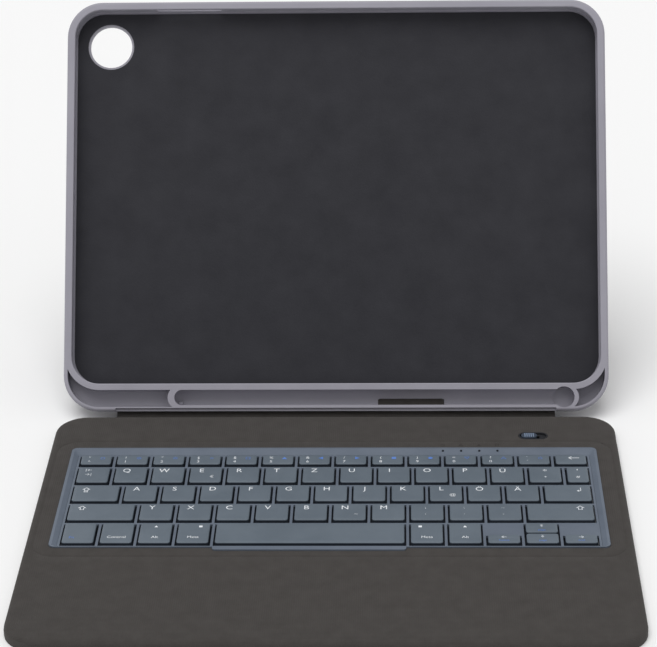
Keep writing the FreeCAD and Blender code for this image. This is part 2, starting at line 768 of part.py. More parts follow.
def usb_port():
    body = new_body("usb_port")
    mouth = ("port_middle", "port_level", "port_mouth")
    pad(body, slot(body, "port_width", "port_height", mouth, "YZ_Plane"), "port_depth", down=True)
    inside = slot(body, "port_width - 2 * port_wall", "port_height - 2 * port_wall", mouth, "YZ_Plane")
    pocket(body, inside, "port_depth - 2 * port_wall")
    tongue = rectangle(body, "tongue_width", "tongue_thickness",
                       ("port_middle", "port_level", "port_mouth - port_depth"), "YZ_Plane")
    pad(body, tongue, "port_depth - 3 * port_wall")
    return body


def slide_switch_case():
    body = new_body("slide_switch_case")
    at = ("switch_place", "switch_middle", "circuit_top")
    pad(body, rectangle(body, "switch_case_length", "switch_case_depth", at), "switch_top - circuit_top")
    travel = rectangle(body, "knob_stem + knob_travel + 4 * knob_clearance", "knob_stem + 2 * knob_clearance",
                       ("switch_place", "switch_middle", "switch_top"))
    pocket(body, travel, "(switch_top - circuit_top) / 2")
    return body


def switch_surround():
    body = new_body("switch_surround")
    foot = ("switch_place", "switch_middle", "switch_top")
    pad(body, slot(body, "surround_length", "surround_width", foot), "deck_top - switch_top")
    recess = slot(body, "surround_length - 2 * surround_wall", "surround_width - 2 * surround_wall",
                  ("switch_place", "switch_middle", "deck_top"))
    pocket(body, recess, "deck_top - recess_floor")
    travel = rectangle(body, "knob_stem + knob_travel + 4 * knob_clearance", "knob_stem + 2 * knob_clearance",
                       ("switch_place", "switch_middle", "recess_floor"))
    pocket(body, travel, "surround_floor")
    return body


def power_switch_knob():
    body = new_body("power_switch_knob")
    knob_foot = "recess_floor + knob_clearance"
    stem_foot = "(circuit_top + switch_top) / 2 + knob_clearance"
    stem = rectangle(body, "knob_stem", "knob_stem", ("0", "0", stem_foot))
    pad(body, stem, f"{knob_foot} - ({stem_foot})")
    knob = slot(body, "knob_length", "knob_width", ("0", "0", knob_foot))
    pad(body, knob, f"deck_top + knob_rise - ({knob_foot})")
    return place(body, "switch_place - knob_travel / 2", "switch_middle")


# Cloth hinge

def hinge_strip_deck_side():
    """A flange on the deck's rear edge, a neck and a round bead on the hinge axis."""
    body = new_body("hinge_strip_deck_side")
    middle = "deck_depth / 2 + strip_thickness / 2"
    flange = rectangle(body, "strip_thickness", "strip_flange",
                       (middle, "strip_flange_start + strip_flange / 2", "0"), "YZ_Plane")
    pad(body, flange, "strip_width", both_ways=True)
    neck = new_sketch(body, "YZ_Plane", ("0", "0", "0"))
    level = value("strip_flange_start + strip_flange / 2")
    foot_front = VECTOR(value("deck_depth / 2"), level)
    foot_rear = VECTOR(value("deck_depth / 2 + strip_thickness"), level)
    bead_rear = VECTOR(value("hinge_y"), value("hinge_z"))
    bead_front = VECTOR(value("hinge_y - strip_thickness"), value("hinge_z"))
    corners = [foot_front, foot_rear, bead_rear, bead_front]
    for index in range(4):
        neck.addGeometry(Part.LineSegment(corners[index], corners[(index + 1) % 4]), False)
    rules = [Sketcher.Constraint("Coincident", index, 2, (index + 1) % 4, 1) for index in range(4)]
    rules += [Sketcher.Constraint("Horizontal", 0), Sketcher.Constraint("Horizontal", 2)]
    neck.addConstraint(rules)
    add_sizes(neck, {
        "foot_y": (("DistanceX", -1, 1, 0, 1), "deck_depth / 2"),
        "foot_z": (("DistanceY", -1, 1, 0, 1), "strip_flange_start + strip_flange / 2"),
        "foot_thickness": (("DistanceX", 0, 1, 0, 2), "strip_thickness"),
        "bead_y": (("DistanceX", -1, 1, 3, 1), "hinge_y - strip_thickness"),
        "bead_z": (("DistanceY", -1, 1, 3, 1), "hinge_z"),
        "bead_thickness": (("DistanceX", 2, 2, 2, 1), "strip_thickness"),
    })
    pad(body, neck, "strip_width", both_ways=True)
    bead = disc(body, "bead_diameter", ("hinge_y", "hinge_z", "0"), "YZ_Plane")
    pad(body, bead, "strip_width", both_ways=True)
    return body


def hinge_strip_tray_side():
    """The tray's part of the strip, on the flat of its lower wall."""
    body = new_body("hinge_strip_tray_side")
    wide = "(tray_thickness - back_round - tray_strip_start)"
    face = rectangle(body, "strip_thickness", wide,
                     ("-strip_thickness / 2", f"-tray_strip_start - {wide} / 2", "0"), "YZ_Plane")
    pad(body, face, "strip_width", both_ways=True)
    return in_tray(body)


# Tray

def tray_blank():
    """The moulding before its pen channel and cut-outs: outer form, pocket and lip."""
    body = new_body("tray_blank")
    middle = ("0", "tray_height / 2", "0")
    face = outline(body, "tray_width", "tray_height", "tray_corner", middle)
    block = pad(body, face, "tray_thickness", down=True)
    front = round_edges(body, block, "front_round", level_at("0"))
    round_edges(body, front, "back_round", level_at("-tray_thickness"))
    lip_wide = "(pocket_width - 2 * lip_overhang)"
    lip_high = "(pocket_height - 2 * lip_overhang)"
    mouth = outline(body, lip_wide, lip_high, "pocket_corner - lip_overhang", ("0", "pocket_middle", "0"))
    opened = pocket(body, mouth, "lip_thickness")
    at_front = level_at("0")
    low = value("pocket_foot")
    high = value("pocket_foot + pocket_height")
    reach = value("pocket_width / 2")

    def round_the_mouth(edge):
        box = edge.BoundBox
        return at_front(edge) and low < box.YMin and box.YMax < high and max(-box.XMin, box.XMax) < reach

    round_edges(body, opened, "lip_round", round_the_mouth)
    space = outline(body, "pocket_width", "pocket_height", "pocket_corner",
                    ("0", "pocket_middle", "-lip_thickness"))
    pocket(body, space, "pocket_depth")
    return body


def corner_reliefs():
    """The two hollows beside the pen channel, between the tray's corners and the pocket's."""
    body = new_body("corner_reliefs")
    block = outline(body, "tray_width - 2 * relief_wall", "tray_height - 2 * relief_wall",
                    "tray_corner - relief_wall", ("0", "tray_height / 2", "0"))
    pad(body, block, "relief_depth", down=True)
    kept = outline(body, "pocket_width + 2 * channel_divider", "pocket_height + 2 * channel_divider",
                   "pocket_corner + channel_divider", ("0", "pocket_middle", "0"))
    pocket(body, kept, "relief_depth")
    left = "(channel_left + partition)"
    right = "(socket_place + socket_diameter / 2 + partition)"
    channel = slot(body, f"{left} + {right}", "channel_mouth + 2 * partition",
                   (f"({right} - {left}) / 2", "channel_middle", "0"))
    pocket(body, channel, "relief_depth")
    return body


def pen_channel():
    """Round-bottomed channel, its closed end at the left and a finger socket at the right."""
    left = "(channel_bore / 2 - channel_left)"
    depth = "-channel_sink"
    middle = f"(socket_place + {left}) / 2"
    bore = rod("channel_bore", f"socket_place - {left}", middle, "channel_middle", depth)
    end = ball("channel_bore", left, "channel_middle", depth)
    socket = DOC.addObject("Part::Cylinder", "finger_socket")
    bind(socket, "Radius", "socket_diameter / 2")
    bind(socket, "Height", "socket_depth + lip_thickness")
    place(socket, "socket_place", "channel_middle", "-socket_depth")
    return [bore, end, socket]


def wall_slot(label, length, wide, x, y, plane):
    """A slot cut through the tray's wall, centred on the pocket's depth."""
    body = new_body(label)
    if plane == "YZ_Plane":
        face = slot(body, length, wide, (y, "-slot_level", x), plane)
    else:
        face = slot(body, length, wide, (x, "-slot_level", f"-({y})"), plane)
    pad(body, face, "2 * (tray_wall + lip_overhang)", both_ways=True)
    return body


def tray_cutouts():
    left = "-(pocket_width + tray_wall) / 2"
    right = "(pocket_width + tray_wall) / 2"
    top = "pocket_foot + pocket_height + tray_wall / 2"
    cutouts = [
        wall_slot("side_button_slot", "side_button_length", "button_slot_width", left,
                  "pocket_foot + side_button_height", "YZ_Plane"),
        wall_slot("top_button_slot", "top_button_length", "button_slot_width", "-top_button_place", top,
                  "XZ_Plane"),
        wall_slot("cable_slot", "cable_slot_length", "cable_slot_width", right, "pocket_middle", "YZ_Plane"),
    ]
    for side in (left, right):
        for sign in ("-", "+"):
            cutouts.append(wall_slot("speaker_slot", "speaker_length", "speaker_width", side,
                                     f"pocket_middle {sign} speaker_offset", "YZ_Plane"))
    window = new_body("push_out_window")
    face = slot(window, "window_length", "window_width",
                ("window_place", "-channel_sink - channel_bore / 2 + window_width / 2", "0"), "XZ_Plane")
    pad(window, face, "2 * lower_wall", both_ways=True)
    camera = new_body("camera_hole")
    pad(camera, disc(camera, "camera_diameter", ("camera_x", "camera_y", "0")), "tray_thickness", down=True)
    groove = rod("bead_diameter + 2 * bead_clearance", "strip_width + 2 * bead_clearance", "0", "0", "0")
    return cutouts + [window, camera, groove]


def tray_shell():
    hollow = cut("tray_hollow", tray_blank(), pen_channel() + [corner_reliefs()] + tray_cutouts())
    nub = rod("nub_diameter", "nub_diameter", "nub_inset - channel_left", "channel_middle - channel_bore / 4",
              "-channel_sink - channel_bore * sqrt(3) / 4")
    shell = DOC.addObject("Part::MultiFuse", "tray_shell")
    shell.Label = "tray_shell"
    shell.Shapes = [hollow, nub]
    return in_tray(shell)


def tray_lining():
    body = new_body("tray_lining")
    wide = "pocket_width - 2 * lining_margin"
    high = "pocket_height - 2 * lining_margin"
    level = "-lip_thickness - pocket_depth"
    pad(body, outline(body, wide, high, "pocket_corner - lining_margin", ("0", "pocket_middle", level)),
        "lining_thickness")
    hole = disc(body, "camera_diameter + camera_rim", ("camera_x", "camera_y", f"{level} + lining_thickness"))
    pocket(body, hole, "lining_thickness")
    return in_tray(body)


# Back panel and stand

def back_half(body, margin, level, thickness):
    """The part of the tray's back outline above the stand's hinge."""
    inset = f"({margin})"
    face = outline(body, f"tray_width - 2 * {inset}", f"tray_height - 2 * {inset}", f"tray_corner - {inset}",
                   ("0", "tray_height / 2", level))
    pad(body, face, thickness, down=True)
    lower = rectangle(body, "tray_width", f"2 * (stand_pivot + panel_split + {inset} - panel_margin)",
                      ("0", "0", level))
    pocket(body, lower, thickness)


def back_panel_board():
    body = new_body("back_panel_board")
    level = "-tray_thickness"
    back_half(body, "panel_margin + panel_edge + fit_gap", level, "panel_board")
    hole = disc(body, "camera_diameter + 2 * (camera_rim + panel_edge)", ("camera_x", "camera_y", level))
    pocket(body, hole, "panel_board")
    for sign in ("-", "+"):
        recess = rectangle(body, "leaf_width + 2 * fit_gap", "2 * (leaf_length + fit_gap)",
                           (f"{sign}leaf_place", "stand_pivot", level))
        pocket(body, recess, "leaf_thickness + fit_gap")
    return in_tray(body)


def back_panel_skin():
    """The outer skin, its edge turned in round the board."""
    body = new_body("back_panel_blank")
    level = "-tray_thickness"
    back_half(body, "panel_margin", level, "panel_thickness")
    hole = disc(body, "camera_diameter + 2 * camera_rim", ("camera_x", "camera_y", level))
    pocket(body, hole, "panel_thickness")
    inset = "(panel_margin + panel_edge)"
    foot = "(stand_pivot + panel_split + panel_edge)"
    bed = new_body("back_panel_bed")
    face = outline(bed, f"tray_width - 2 * {inset}", f"tray_height - 2 * {inset}", f"tray_corner - {inset}",
                   ("0", "tray_height / 2", level))
    pad(bed, face, "panel_board", down=True)
    lower = rectangle(bed, "tray_width", f"2 * {foot}", ("0", "0", level))
    pocket(bed, lower, "panel_board")
    rim = disc(bed, "camera_diameter + 2 * (camera_rim + panel_edge - fit_gap)",
               ("camera_x", "camera_y", level))
    pocket(bed, rim, "panel_board")
    leaves = []
    for sign in ("-", "+"):
        leaf = new_body("leaf_passage")
        way = rectangle(leaf, "leaf_width + 2 * fit_gap", "2 * (leaf_length + fit_gap)",
                        (f"{sign}leaf_place", "stand_pivot", level))
        pad(leaf, way, "leaf_thickness + fit_gap", down=True)
        leaves.append(leaf)
    return in_tray(cut("back_panel_skin", body, [bed] + leaves))


def hinge_leaf(body, sign, side, plate_top, middle_only):
    """A plate and its knuckles on the hinge axis."""
    plate_foot = f"({plate_top} - leaf_thickness)"
    x = f"{sign}leaf_place"
    turn = "+" if side == "up" else "-"
    plate = rectangle(body, "leaf_width", "leaf_length - panel_split",
                      (x, f"{turn}(leaf_length + panel_split) / 2", plate_foot))
    pad(body, plate, "leaf_thickness")
    spans = [("0", "knuckle_width")]
    if not middle_only:
        end = "((leaf_width - knuckle_width) / 2 - knuckle_gap)"
        spans = [(f"-(leaf_width - {end}) / 2", end), (f"(leaf_width - {end}) / 2", end)]
    for shift, wide in spans:
        tongue = rectangle(body, wide, "panel_split",
                           (f"{x} + {shift}", f"{turn}panel_split / 2", plate_foot))
        pad(body, tongue, "leaf_thickness")
        barrel = disc(body, "knuckle_diameter", ("0", "0", f"{x} + {shift}"), "YZ_Plane")
        pad(body, barrel, wide, both_ways=True)
    bore = disc(body, "bore_diameter", ("0", "0", x), "YZ_Plane")
    pocket(body, bore, "2 * leaf_width", both_ways=True)


def stand_hinge_fixed_leaves():
    body = new_body("stand_hinge_fixed_leaves")
    for sign in ("-", "+"):
        hinge_leaf(body, sign, "up", "axis_depth", False)
    return place(body, "0", "pivot_y", "pivot_z", "tray_angle")


def stand_hinge_moving_leaves():
    body = new_body("stand_hinge_moving_leaves")
    for sign in ("-", "+"):
        hinge_leaf(body, sign, "down", "panel_thickness / 2", True)
    return in_stand(body)


def stand_hinge_pins():
    pins = DOC.addObject("Part::Compound", "stand_hinge_pins")
    pins.Label = "stand_hinge_pins"
    pins.Links = [rod("pin_diameter", "leaf_width", f"{sign}leaf_place", "0", "0") for sign in ("-", "+")]
    return place(pins, "0", "pivot_y", "pivot_z", "tray_angle")


def stand_sheet(body, margin, level, thickness):
    """The stand's outline, square at the hinge and round at the foot."""
    inset = f"({margin})"
    top = f"(panel_split + {inset})"
    foot = f"(stand_length - {inset})"
    face = outline(body, f"stand_width - 2 * {inset}", f"{foot} - {top} + 2 * stand_corner",
                   f"stand_corner - {inset}", ("0", f"stand_corner - ({foot} + {top}) / 2", level))
    pad(body, face, thickness, down=True)
    over = rectangle(body, "stand_width", "4 * stand_corner", ("0", f"2 * stand_corner - {top}", level))
    pocket(body, over, thickness)


def stand_board():
    body = new_body("stand_board")
    level = "panel_thickness / 2"
    stand_sheet(body, "panel_edge + fit_gap", level, "panel_board")
    for sign in ("-", "+"):
        recess = rectangle(body, "leaf_width + 2 * fit_gap", "2 * (leaf_length + fit_gap)",
                           (f"{sign}leaf_place", "0", level))
        pocket(body, recess, "leaf_thickness + fit_gap")
    return in_stand(body)


def stand_skin():
    body = new_body("stand_skin_blank")
    level = "panel_thickness / 2"
    stand_sheet(body, "0", level, "panel_thickness")
    bed = new_body("stand_bed")
    stand_sheet(bed, "panel_edge", level, "panel_board")
    leaves = []
    for sign in ("-", "+"):
        leaf = new_body("leaf_passage")
        way = rectangle(leaf, "leaf_width + 2 * fit_gap", "2 * (leaf_length + fit_gap)",
                        (f"{sign}leaf_place", "0", level))
        pad(leaf, way, "leaf_thickness + fit_gap", down=True)
        leaves.append(leaf)
    return in_stand(cut("stand_skin", body, [bed] + leaves))


def stand_foot_strip():
    """A rubber strip with a round edge, which stands on the table."""
    body = new_body("stand_foot_strip")
    square = "(foot_reach - foot_round)"
    face = rectangle(body, square, "panel_thickness", (f"-stand_length - {square} / 2", "0", "0"), "YZ_Plane")
    pad(body, face, "foot_length", both_ways=True)
    edge = disc(body, "panel_thickness", ("-stand_reach", "0", "0"), "YZ_Plane")
    pad(body, edge, "foot_length", both_ways=True)
    return in_stand(body)


# The whole case

def build():
    fill_sheet()
    caps, domes = all_keys()
    letters = [caps[name] for name in sorted(caps) if len(name) == 1]
    numbers = key_group("number_row_keys", [caps[name] for name in caps if name.startswith("number_")])
    others = [caps[name] for name in caps
              if len(name) > 1 and name != "space" and not name.startswith("number_")]
    functions = key_group("function_keys", others)
    space = caps["space"]
    space.Label = "space_bar"
    pieces = [
        deck_bottom_skin(), deck_top_skin(), deck_board(), closing_magnets(),
        keyboard_bezel(), key_grid(), key_base_plate(), key_membrane(), rubber_domes(domes), light_pipes(),
        battery_cell(), controller_board(), usb_port(),
        slide_switch_case(), switch_surround(), power_switch_knob(),
        hinge_strip_deck_side(), hinge_strip_tray_side(), tray_shell(), tray_lining(),
        back_panel_board(), back_panel_skin(), stand_hinge_fixed_leaves(), stand_hinge_pins(),
        stand_hinge_moving_leaves(), stand_board(), stand_skin(), stand_foot_strip(),
    ]
    DOC.recompute()
    return pieces + letters + [space, numbers, functions]


def check(pieces):
    """Stop if any object failed, any pocket cuts nothing or any piece is not a sound solid."""
    for item in DOC.Objects:
        if "Invalid" in item.State or "Error" in item.State:
            raise RuntimeError(f"{item.Label} failed: {item.State}")
        if item.TypeId == "PartDesign::Pocket" and not item.Shape.Volume < item.BaseFeature.Shape.Volume:
            raise RuntimeError(f"{item.Label} cuts nothing")
    for piece in pieces:
        if piece.Shape.isNull() or not piece.Shape.isValid() or not piece.Shape.Solids:
            raise RuntimeError(f"{piece.Label} has no sound solid")


def write(pieces):
    os.makedirs("parts", exist_ok=True)
    for piece in pieces:
        piece.Shape.exportStep(f"parts/{piece.Label}.step")
        print(piece.Label, len(piece.Shape.Solids), "solids", round(piece.Shape.Volume, 2), "mm3")


PIECES = build()
check(PIECES)
write(PIECES)
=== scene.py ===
# %% [markdown]
# A folding keyboard case: a cloth-covered keyboard deck, a moulded tray that leans on a folding stand, and a
# cloth hinge between them. The solids come from CAD in metres, and this file dresses them. Hard mouldings
# stay as they are and get a finish. Cloth, key caps and small print are made here, because a cloth face needs
# a soft edge and a weave, and a cap needs a rounded rim that would be costly in the solids.

import json
import math

import bmesh
import bpy
from mathutils import Matrix, Vector
from mathutils.geometry import delaunay_2d_cdt


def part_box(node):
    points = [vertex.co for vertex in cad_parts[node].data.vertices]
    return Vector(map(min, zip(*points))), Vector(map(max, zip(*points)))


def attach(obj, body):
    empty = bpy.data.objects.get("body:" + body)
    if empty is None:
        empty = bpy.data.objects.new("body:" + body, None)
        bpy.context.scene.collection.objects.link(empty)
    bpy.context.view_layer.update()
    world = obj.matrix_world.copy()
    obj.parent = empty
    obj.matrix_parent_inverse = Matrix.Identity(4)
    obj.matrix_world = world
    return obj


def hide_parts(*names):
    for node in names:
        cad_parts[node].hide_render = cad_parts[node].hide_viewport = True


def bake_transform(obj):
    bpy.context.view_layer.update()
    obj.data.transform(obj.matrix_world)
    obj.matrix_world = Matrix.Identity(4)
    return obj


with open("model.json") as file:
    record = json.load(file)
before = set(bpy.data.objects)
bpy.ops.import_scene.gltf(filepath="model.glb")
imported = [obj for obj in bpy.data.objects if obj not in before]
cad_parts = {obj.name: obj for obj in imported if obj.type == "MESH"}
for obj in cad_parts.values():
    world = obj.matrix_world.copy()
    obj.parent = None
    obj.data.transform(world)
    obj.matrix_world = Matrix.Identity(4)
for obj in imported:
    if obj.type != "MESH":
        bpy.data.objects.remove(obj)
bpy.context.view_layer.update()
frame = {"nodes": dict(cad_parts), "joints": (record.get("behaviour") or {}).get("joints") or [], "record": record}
nodes = frame["nodes"]
MM = 0.001

# %% [markdown]
# The deck lies flat, the tray leans back and the stand leans the other way. Each of the two tilted pieces is
# easiest to draw flat, in a frame of its own, and then to put in place. The tilt could be typed in again, but
# it is read from the record, so that the cloth follows the solids if they change.

# %% Frames of the tilted pieces
joints = {joint["name"]: joint for joint in frame["joints"]}
mounts = {mount["name"]: mount for mount in frame["record"]["mounts"]}


def tilted(place, angle):
    """A frame at a point, turned about X."""
    return Matrix.Translation(place) @ Matrix.Rotation(angle, 4, "X")


def box_of(node):
    """Lowest and highest corner of a CAD node."""
    return [Vector(corner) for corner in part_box(node)]


front = Vector(mounts["tablet_pocket"]["axis"])
hinge = Vector(joints["fold_tray"]["pos_m"])
pivot = Vector(joints["fold_stand"]["pos_m"])
to_foot = sum(box_of("stand_foot_strip"), Vector()) / 2 - pivot
deck_frame = Matrix.Identity(4)
tray_frame = tilted(hinge, math.atan2(-front.y, front.z))
stand_frame = tilted(pivot, math.atan2(-to_foot.z, -to_foot.y))
turned_over = Matrix.Rotation(math.pi, 4, "Y")
print("tray leans", round(math.degrees(math.atan2(-front.y, front.z)), 1), "degrees from flat")

# %% [markdown]
# Every finish is a node tree on one Principled shader. Colours are written as the sRGB hex values that a
# designer would quote, and one function turns them to the linear values that the shader mixes. One helper
# adds a node with its settings, its fixed inputs and its links, which keeps each finish short enough to read
# whole.


# %% Helpers for finishes
def linear(hex_colour):
    """An sRGB hex colour as linear RGBA."""
    channels = [int(hex_colour[place:place + 2], 16) / 255 for place in (1, 3, 5)]
    return [c / 12.92 if c <= 0.04045 else ((c + 0.055) / 1.055) ** 2.4 for c in channels] + [1.0]


def add_node(tree, kind, settings=(), inputs=(), links=()):
    """Add one node: its settings by name, then its input values and links by socket."""
    made = tree.nodes.new(kind)
    for name, setting in dict(settings).items():
        setattr(made, name, setting)
    for socket, number in dict(inputs).items():
        made.inputs[socket].default_value = number
    for socket, source in dict(links).items():
        tree.links.new(source, made.inputs[socket])
    return made


def new_finish(name, colour, roughness, settings=()):
    """A material with a Principled shader: its plain values set, its patterns still to come."""
    finish = bpy.data.materials.new(name)
    finish.use_nodes = True
    shader = finish.node_tree.nodes["Principled BSDF"]
    shader.inputs["Base Color"].default_value = linear(colour)
    shader.inputs["Roughness"].default_value = roughness
    for socket, number in dict(settings).items():
        shader.inputs[socket].default_value = number
    return finish, finish.node_tree, shader


print("middle grey in linear", round(linear("#808080")[0], 3))

# %% [markdown]
# No real surface has one even tone. Dye takes unevenly and a moulding cools unevenly, so each finish drifts
# between two near colours in patches. An image could hold the patches, but noise has no edges and no size of
# its own, and its scale is worked out from a real size.

# %% Uneven tone
DARK_STOP, LIGHT_STOP = 0.3, 0.7  # where on the noise the two tones lie


def mottle(tree, shader, place, size, low, high, detail=3.0):
    """Vary the base colour between two tones in patches of a real size, and give the pattern back."""
    patches = add_node(tree, "ShaderNodeTexNoise", {},
                       {"Scale": 1 / size, "Detail": detail, "Roughness": 0.6}, {"Vector": place})
    tones = add_node(tree, "ShaderNodeValToRGB", {}, {}, {"Fac": patches.outputs["Fac"]})
    for stop, position, colour in zip(tones.color_ramp.elements, (DARK_STOP, LIGHT_STOP), (low, high)):
        stop.position = position
        stop.color = linear(colour)
    tree.links.new(tones.outputs["Color"], shader.inputs["Base Color"])
    return patches


print("tones lie at", DARK_STOP, "and", LIGHT_STOP, "of the noise")

# %% [markdown]
# The cover is a fine woven polyester, laminated to a board, dark brown-grey and without shine. A weave could
# be modelled thread by thread, but at this size it only shows as a grain. Two crossed waves on the cloth's
# own flat coordinates give the warp and the weft, and slow patches give the uneven look of dyed yarn.

# %% Woven cover
THREAD = 0.9 * MM  # the real yarn is nearer 0.3 mm, too fine to show, so it is drawn coarser
DYE_PATCH = 7 * MM
YARN_RISE = 0.12 * MM

# To the eye: a dead matt brown-grey with a fine crossed grain and a hint of fuzz at low angles.
woven_cover, tree, shader = new_finish("laminated_woven_polyester", "#423f3d", 0.88, {
    "Sheen Weight": 0.05, "Sheen Roughness": 0.6, "Specular IOR Level": 0.12})
place = add_node(tree, "ShaderNodeTexCoord").outputs["UV"]
mottle(tree, shader, place, DYE_PATCH, "#3f3c3a", "#464341", 6.0)
# At a scale of 1 a wave repeats every pi / 10.
wave = {"Scale": math.pi / (10 * THREAD), "Distortion": 0.6, "Detail": 1.0, "Detail Scale": 2.0}
warp = add_node(tree, "ShaderNodeTexWave", {"bands_direction": "X"}, wave, {"Vector": place})
weft = add_node(tree, "ShaderNodeTexWave", {"bands_direction": "Y"}, wave, {"Vector": place})
weave = add_node(tree, "ShaderNodeMath", {"operation": "ADD"}, {},
                 {0: warp.outputs["Fac"], 1: weft.outputs["Fac"]})
bump = add_node(tree, "ShaderNodeBump", {}, {"Strength": 0.4, "Distance": YARN_RISE},
                {"Height": weave.outputs["Value"]})
tree.links.new(bump.outputs["Normal"], shader.inputs["Normal"])
print("cover thread", round(THREAD / MM, 2), "mm")

# %% [markdown]
# The tray is moulded in a soft grey plastic (TPU) with a faint violet cast. The mould is spark-eroded, which
# leaves a fine even grain that breaks up reflections, so the gloss is low but not dead. A roughness alone
# would give an even gloss, so the same noise raises the grain and varies the gloss.

# %% Moulded tray plastic
GRAIN = 0.7 * MM  # a real spark grain is nearer 0.1 mm, too fine to show, so it is drawn coarser
FLOW_PATCH = 30 * MM
GRAIN_RISE = 0.05 * MM


def raise_grain(tree, shader, place, size, rise, strength, detail=2.0):
    """Raise the surface in grains of a real size, and give the pattern back."""
    grain = add_node(tree, "ShaderNodeTexNoise", {}, {"Scale": 1 / size, "Detail": detail}, {"Vector": place})
    bump = add_node(tree, "ShaderNodeBump", {}, {"Strength": strength, "Distance": rise},
                    {"Height": grain.outputs["Fac"]})
    tree.links.new(bump.outputs["Normal"], shader.inputs["Normal"])
    return grain


# To the eye: a soft satin grey with a violet cast, whose highlights are wide and slightly broken.
tray_plastic, tree, shader = new_finish("moulded_tpu_satin", "#96949e", 0.5, {"Specular IOR Level": 0.4})
place = add_node(tree, "ShaderNodeTexCoord").outputs["Object"]
mottle(tree, shader, place, FLOW_PATCH, "#93919b", "#9a98a2")
grain = raise_grain(tree, shader, place, GRAIN, GRAIN_RISE, strength=0.35)
gloss = add_node(tree, "ShaderNodeMapRange", {}, {"To Min": 0.44, "To Max": 0.58},
                 {"Value": grain.outputs["Fac"]})
tree.links.new(gloss.outputs["Result"], shader.inputs["Roughness"])
print("tray grain", round(GRAIN / MM, 2), "mm")

# %% [markdown]
# The floor of the tray is lined with brushed microfibre, so that it doesn't scratch what lies on it. Its nap
# could be hair, but it is too short to show as strands. It lies in soft tufts and catches light at a low
# angle, which is what sheen is for.

# %% Microfibre lining
NAP = 1.1 * MM  # single fibres are far finer, so tufts of them are drawn instead
NAP_PATCH = 16 * MM
NAP_RISE = 0.15 * MM

# To the eye: a deep charcoal that lightens softly where the nap is seen edge on.
lining_nap, tree, shader = new_finish("brushed_microfibre", "#2e2e33", 0.95, {
    "Sheen Weight": 0.35, "Sheen Roughness": 0.5, "Specular IOR Level": 0.2})
place = add_node(tree, "ShaderNodeTexCoord").outputs["UV"]
mottle(tree, shader, place, NAP_PATCH, "#2b2b30", "#333338", 8.0)
raise_grain(tree, shader, place, NAP, NAP_RISE, strength=0.5, detail=4.0)
print("lining tufts", round(NAP / MM, 2), "mm")

# %% [markdown]
# Caps, rim and web are ABS in a blue-grey, with the fine matt texture that hides finger marks. The rim is a
# touch bluer than the caps, as it is in the photograph. The other small mouldings, the rubber and the printed
# ink have the same build and differ in colour and gloss, so one function makes them all.

# %% Keyboard plastics
KEY_GRAIN = 0.45 * MM  # coarser than the real texture, which is too fine to show
KEY_GRAIN_RISE = 0.03 * MM
KEY_PATCH = 18 * MM


def matt_plastic(name, colour, low, high, roughness):
    """Moulded plastic with a fine grain and slight changes of tone."""
    finish, tree, shader = new_finish(name, colour, roughness, {"Specular IOR Level": 0.3})
    place = add_node(tree, "ShaderNodeTexCoord").outputs["Object"]
    mottle(tree, shader, place, KEY_PATCH, low, high)
    raise_grain(tree, shader, place, KEY_GRAIN, KEY_GRAIN_RISE, strength=0.3)
    return finish


# A soft satin blue-grey, with a pale line where the rim of a cap turns to the light.
cap_plastic = matt_plastic("moulded_abs_cap", "#606a74", "#5c6670", "#656f79", 0.48)
# Painted shade: the caps' sides are nearly black, so each cap seems to float over a shaded gap.
painted_shade_skirt = matt_plastic("cap_skirt_painted_shade", "#1c222c", "#191f28", "#202731", 0.6)
# Close to the caps but bluer, which sets the keyboard off from the brown cloth.
rim_plastic = matt_plastic("moulded_abs_rim", "#616a77", "#5e6774", "#666f7c", 0.5)
# A neutral black with a low sheen, for what lies deep in the switch.
switch_black = matt_plastic("moulded_abs_black", "#26272a", "#222326", "#2b2c30", 0.45)
# A dark slate that shows the knob against its black slot.
knob_grey = matt_plastic("moulded_abs_knob", "#3d4654", "#39424f", "#434c5a", 0.42)
# A dull warm black that gives back almost no highlight.
foot_rubber = matt_plastic("moulded_rubber", "#282726", "#242322", "#2e2c2b", 0.75)
# Painted shade: the domes are a cold dull black, so the gaps round the keys read as shaded.
dome_painted_shade = matt_plastic("silicone_dome_painted_shade", "#20242c", "#1c2028", "#252932", 0.6)
# A flat, slightly cold white with crisp edges.
white_ink = matt_plastic("pad_print_white", "#e9edf2", "#e2e7ed", "#f0f3f6", 0.55)
# A muted blue that reads second, after the white.
blue_ink = matt_plastic("pad_print_blue", "#5f82c8", "#597cc2", "#6689ce", 0.55)
print("key grain", round(KEY_GRAIN / MM, 2), "mm on nine plastics, rubbers and inks")

# %% [markdown]
# Steel leaves and the charging port are nickel-plated, and the lights look out through smoked acrylic. What
# lies inside the deck is never seen in use and could stay grey, but each piece still gets the finish that it
# is made with: board, foil, film, laminate and sheet.

# %% Metals and inner pieces
PLATING_PATCH = 5 * MM
PLATING_RISE = 0.01 * MM
SMOKE_PATCH = 2 * MM

# To the eye: a bright grey metal with soft reflections, not a mirror.
steel, tree, shader = new_finish("nickel_plated_steel", "#b9bbbe", 0.28, {"Metallic": 1.0})
place = add_node(tree, "ShaderNodeTexCoord").outputs["Object"]
patches = mottle(tree, shader, place, PLATING_PATCH, "#b2b4b8", "#c2c4c7")
bump = add_node(tree, "ShaderNodeBump", {}, {"Strength": 0.2, "Distance": PLATING_RISE},
                {"Height": patches.outputs["Fac"]})
tree.links.new(bump.outputs["Normal"], shader.inputs["Normal"])

# To the eye: a dark glassy dot with a sharp small highlight, as a light looks when it is off.
smoked_pipe, tree, shader = new_finish("smoked_acrylic", "#23262e", 0.2, {"IOR": 1.49, "Coat Weight": 0.3})
place = add_node(tree, "ShaderNodeTexCoord").outputs["Object"]
mottle(tree, shader, place, SMOKE_PATCH, "#1f2229", "#282c34")

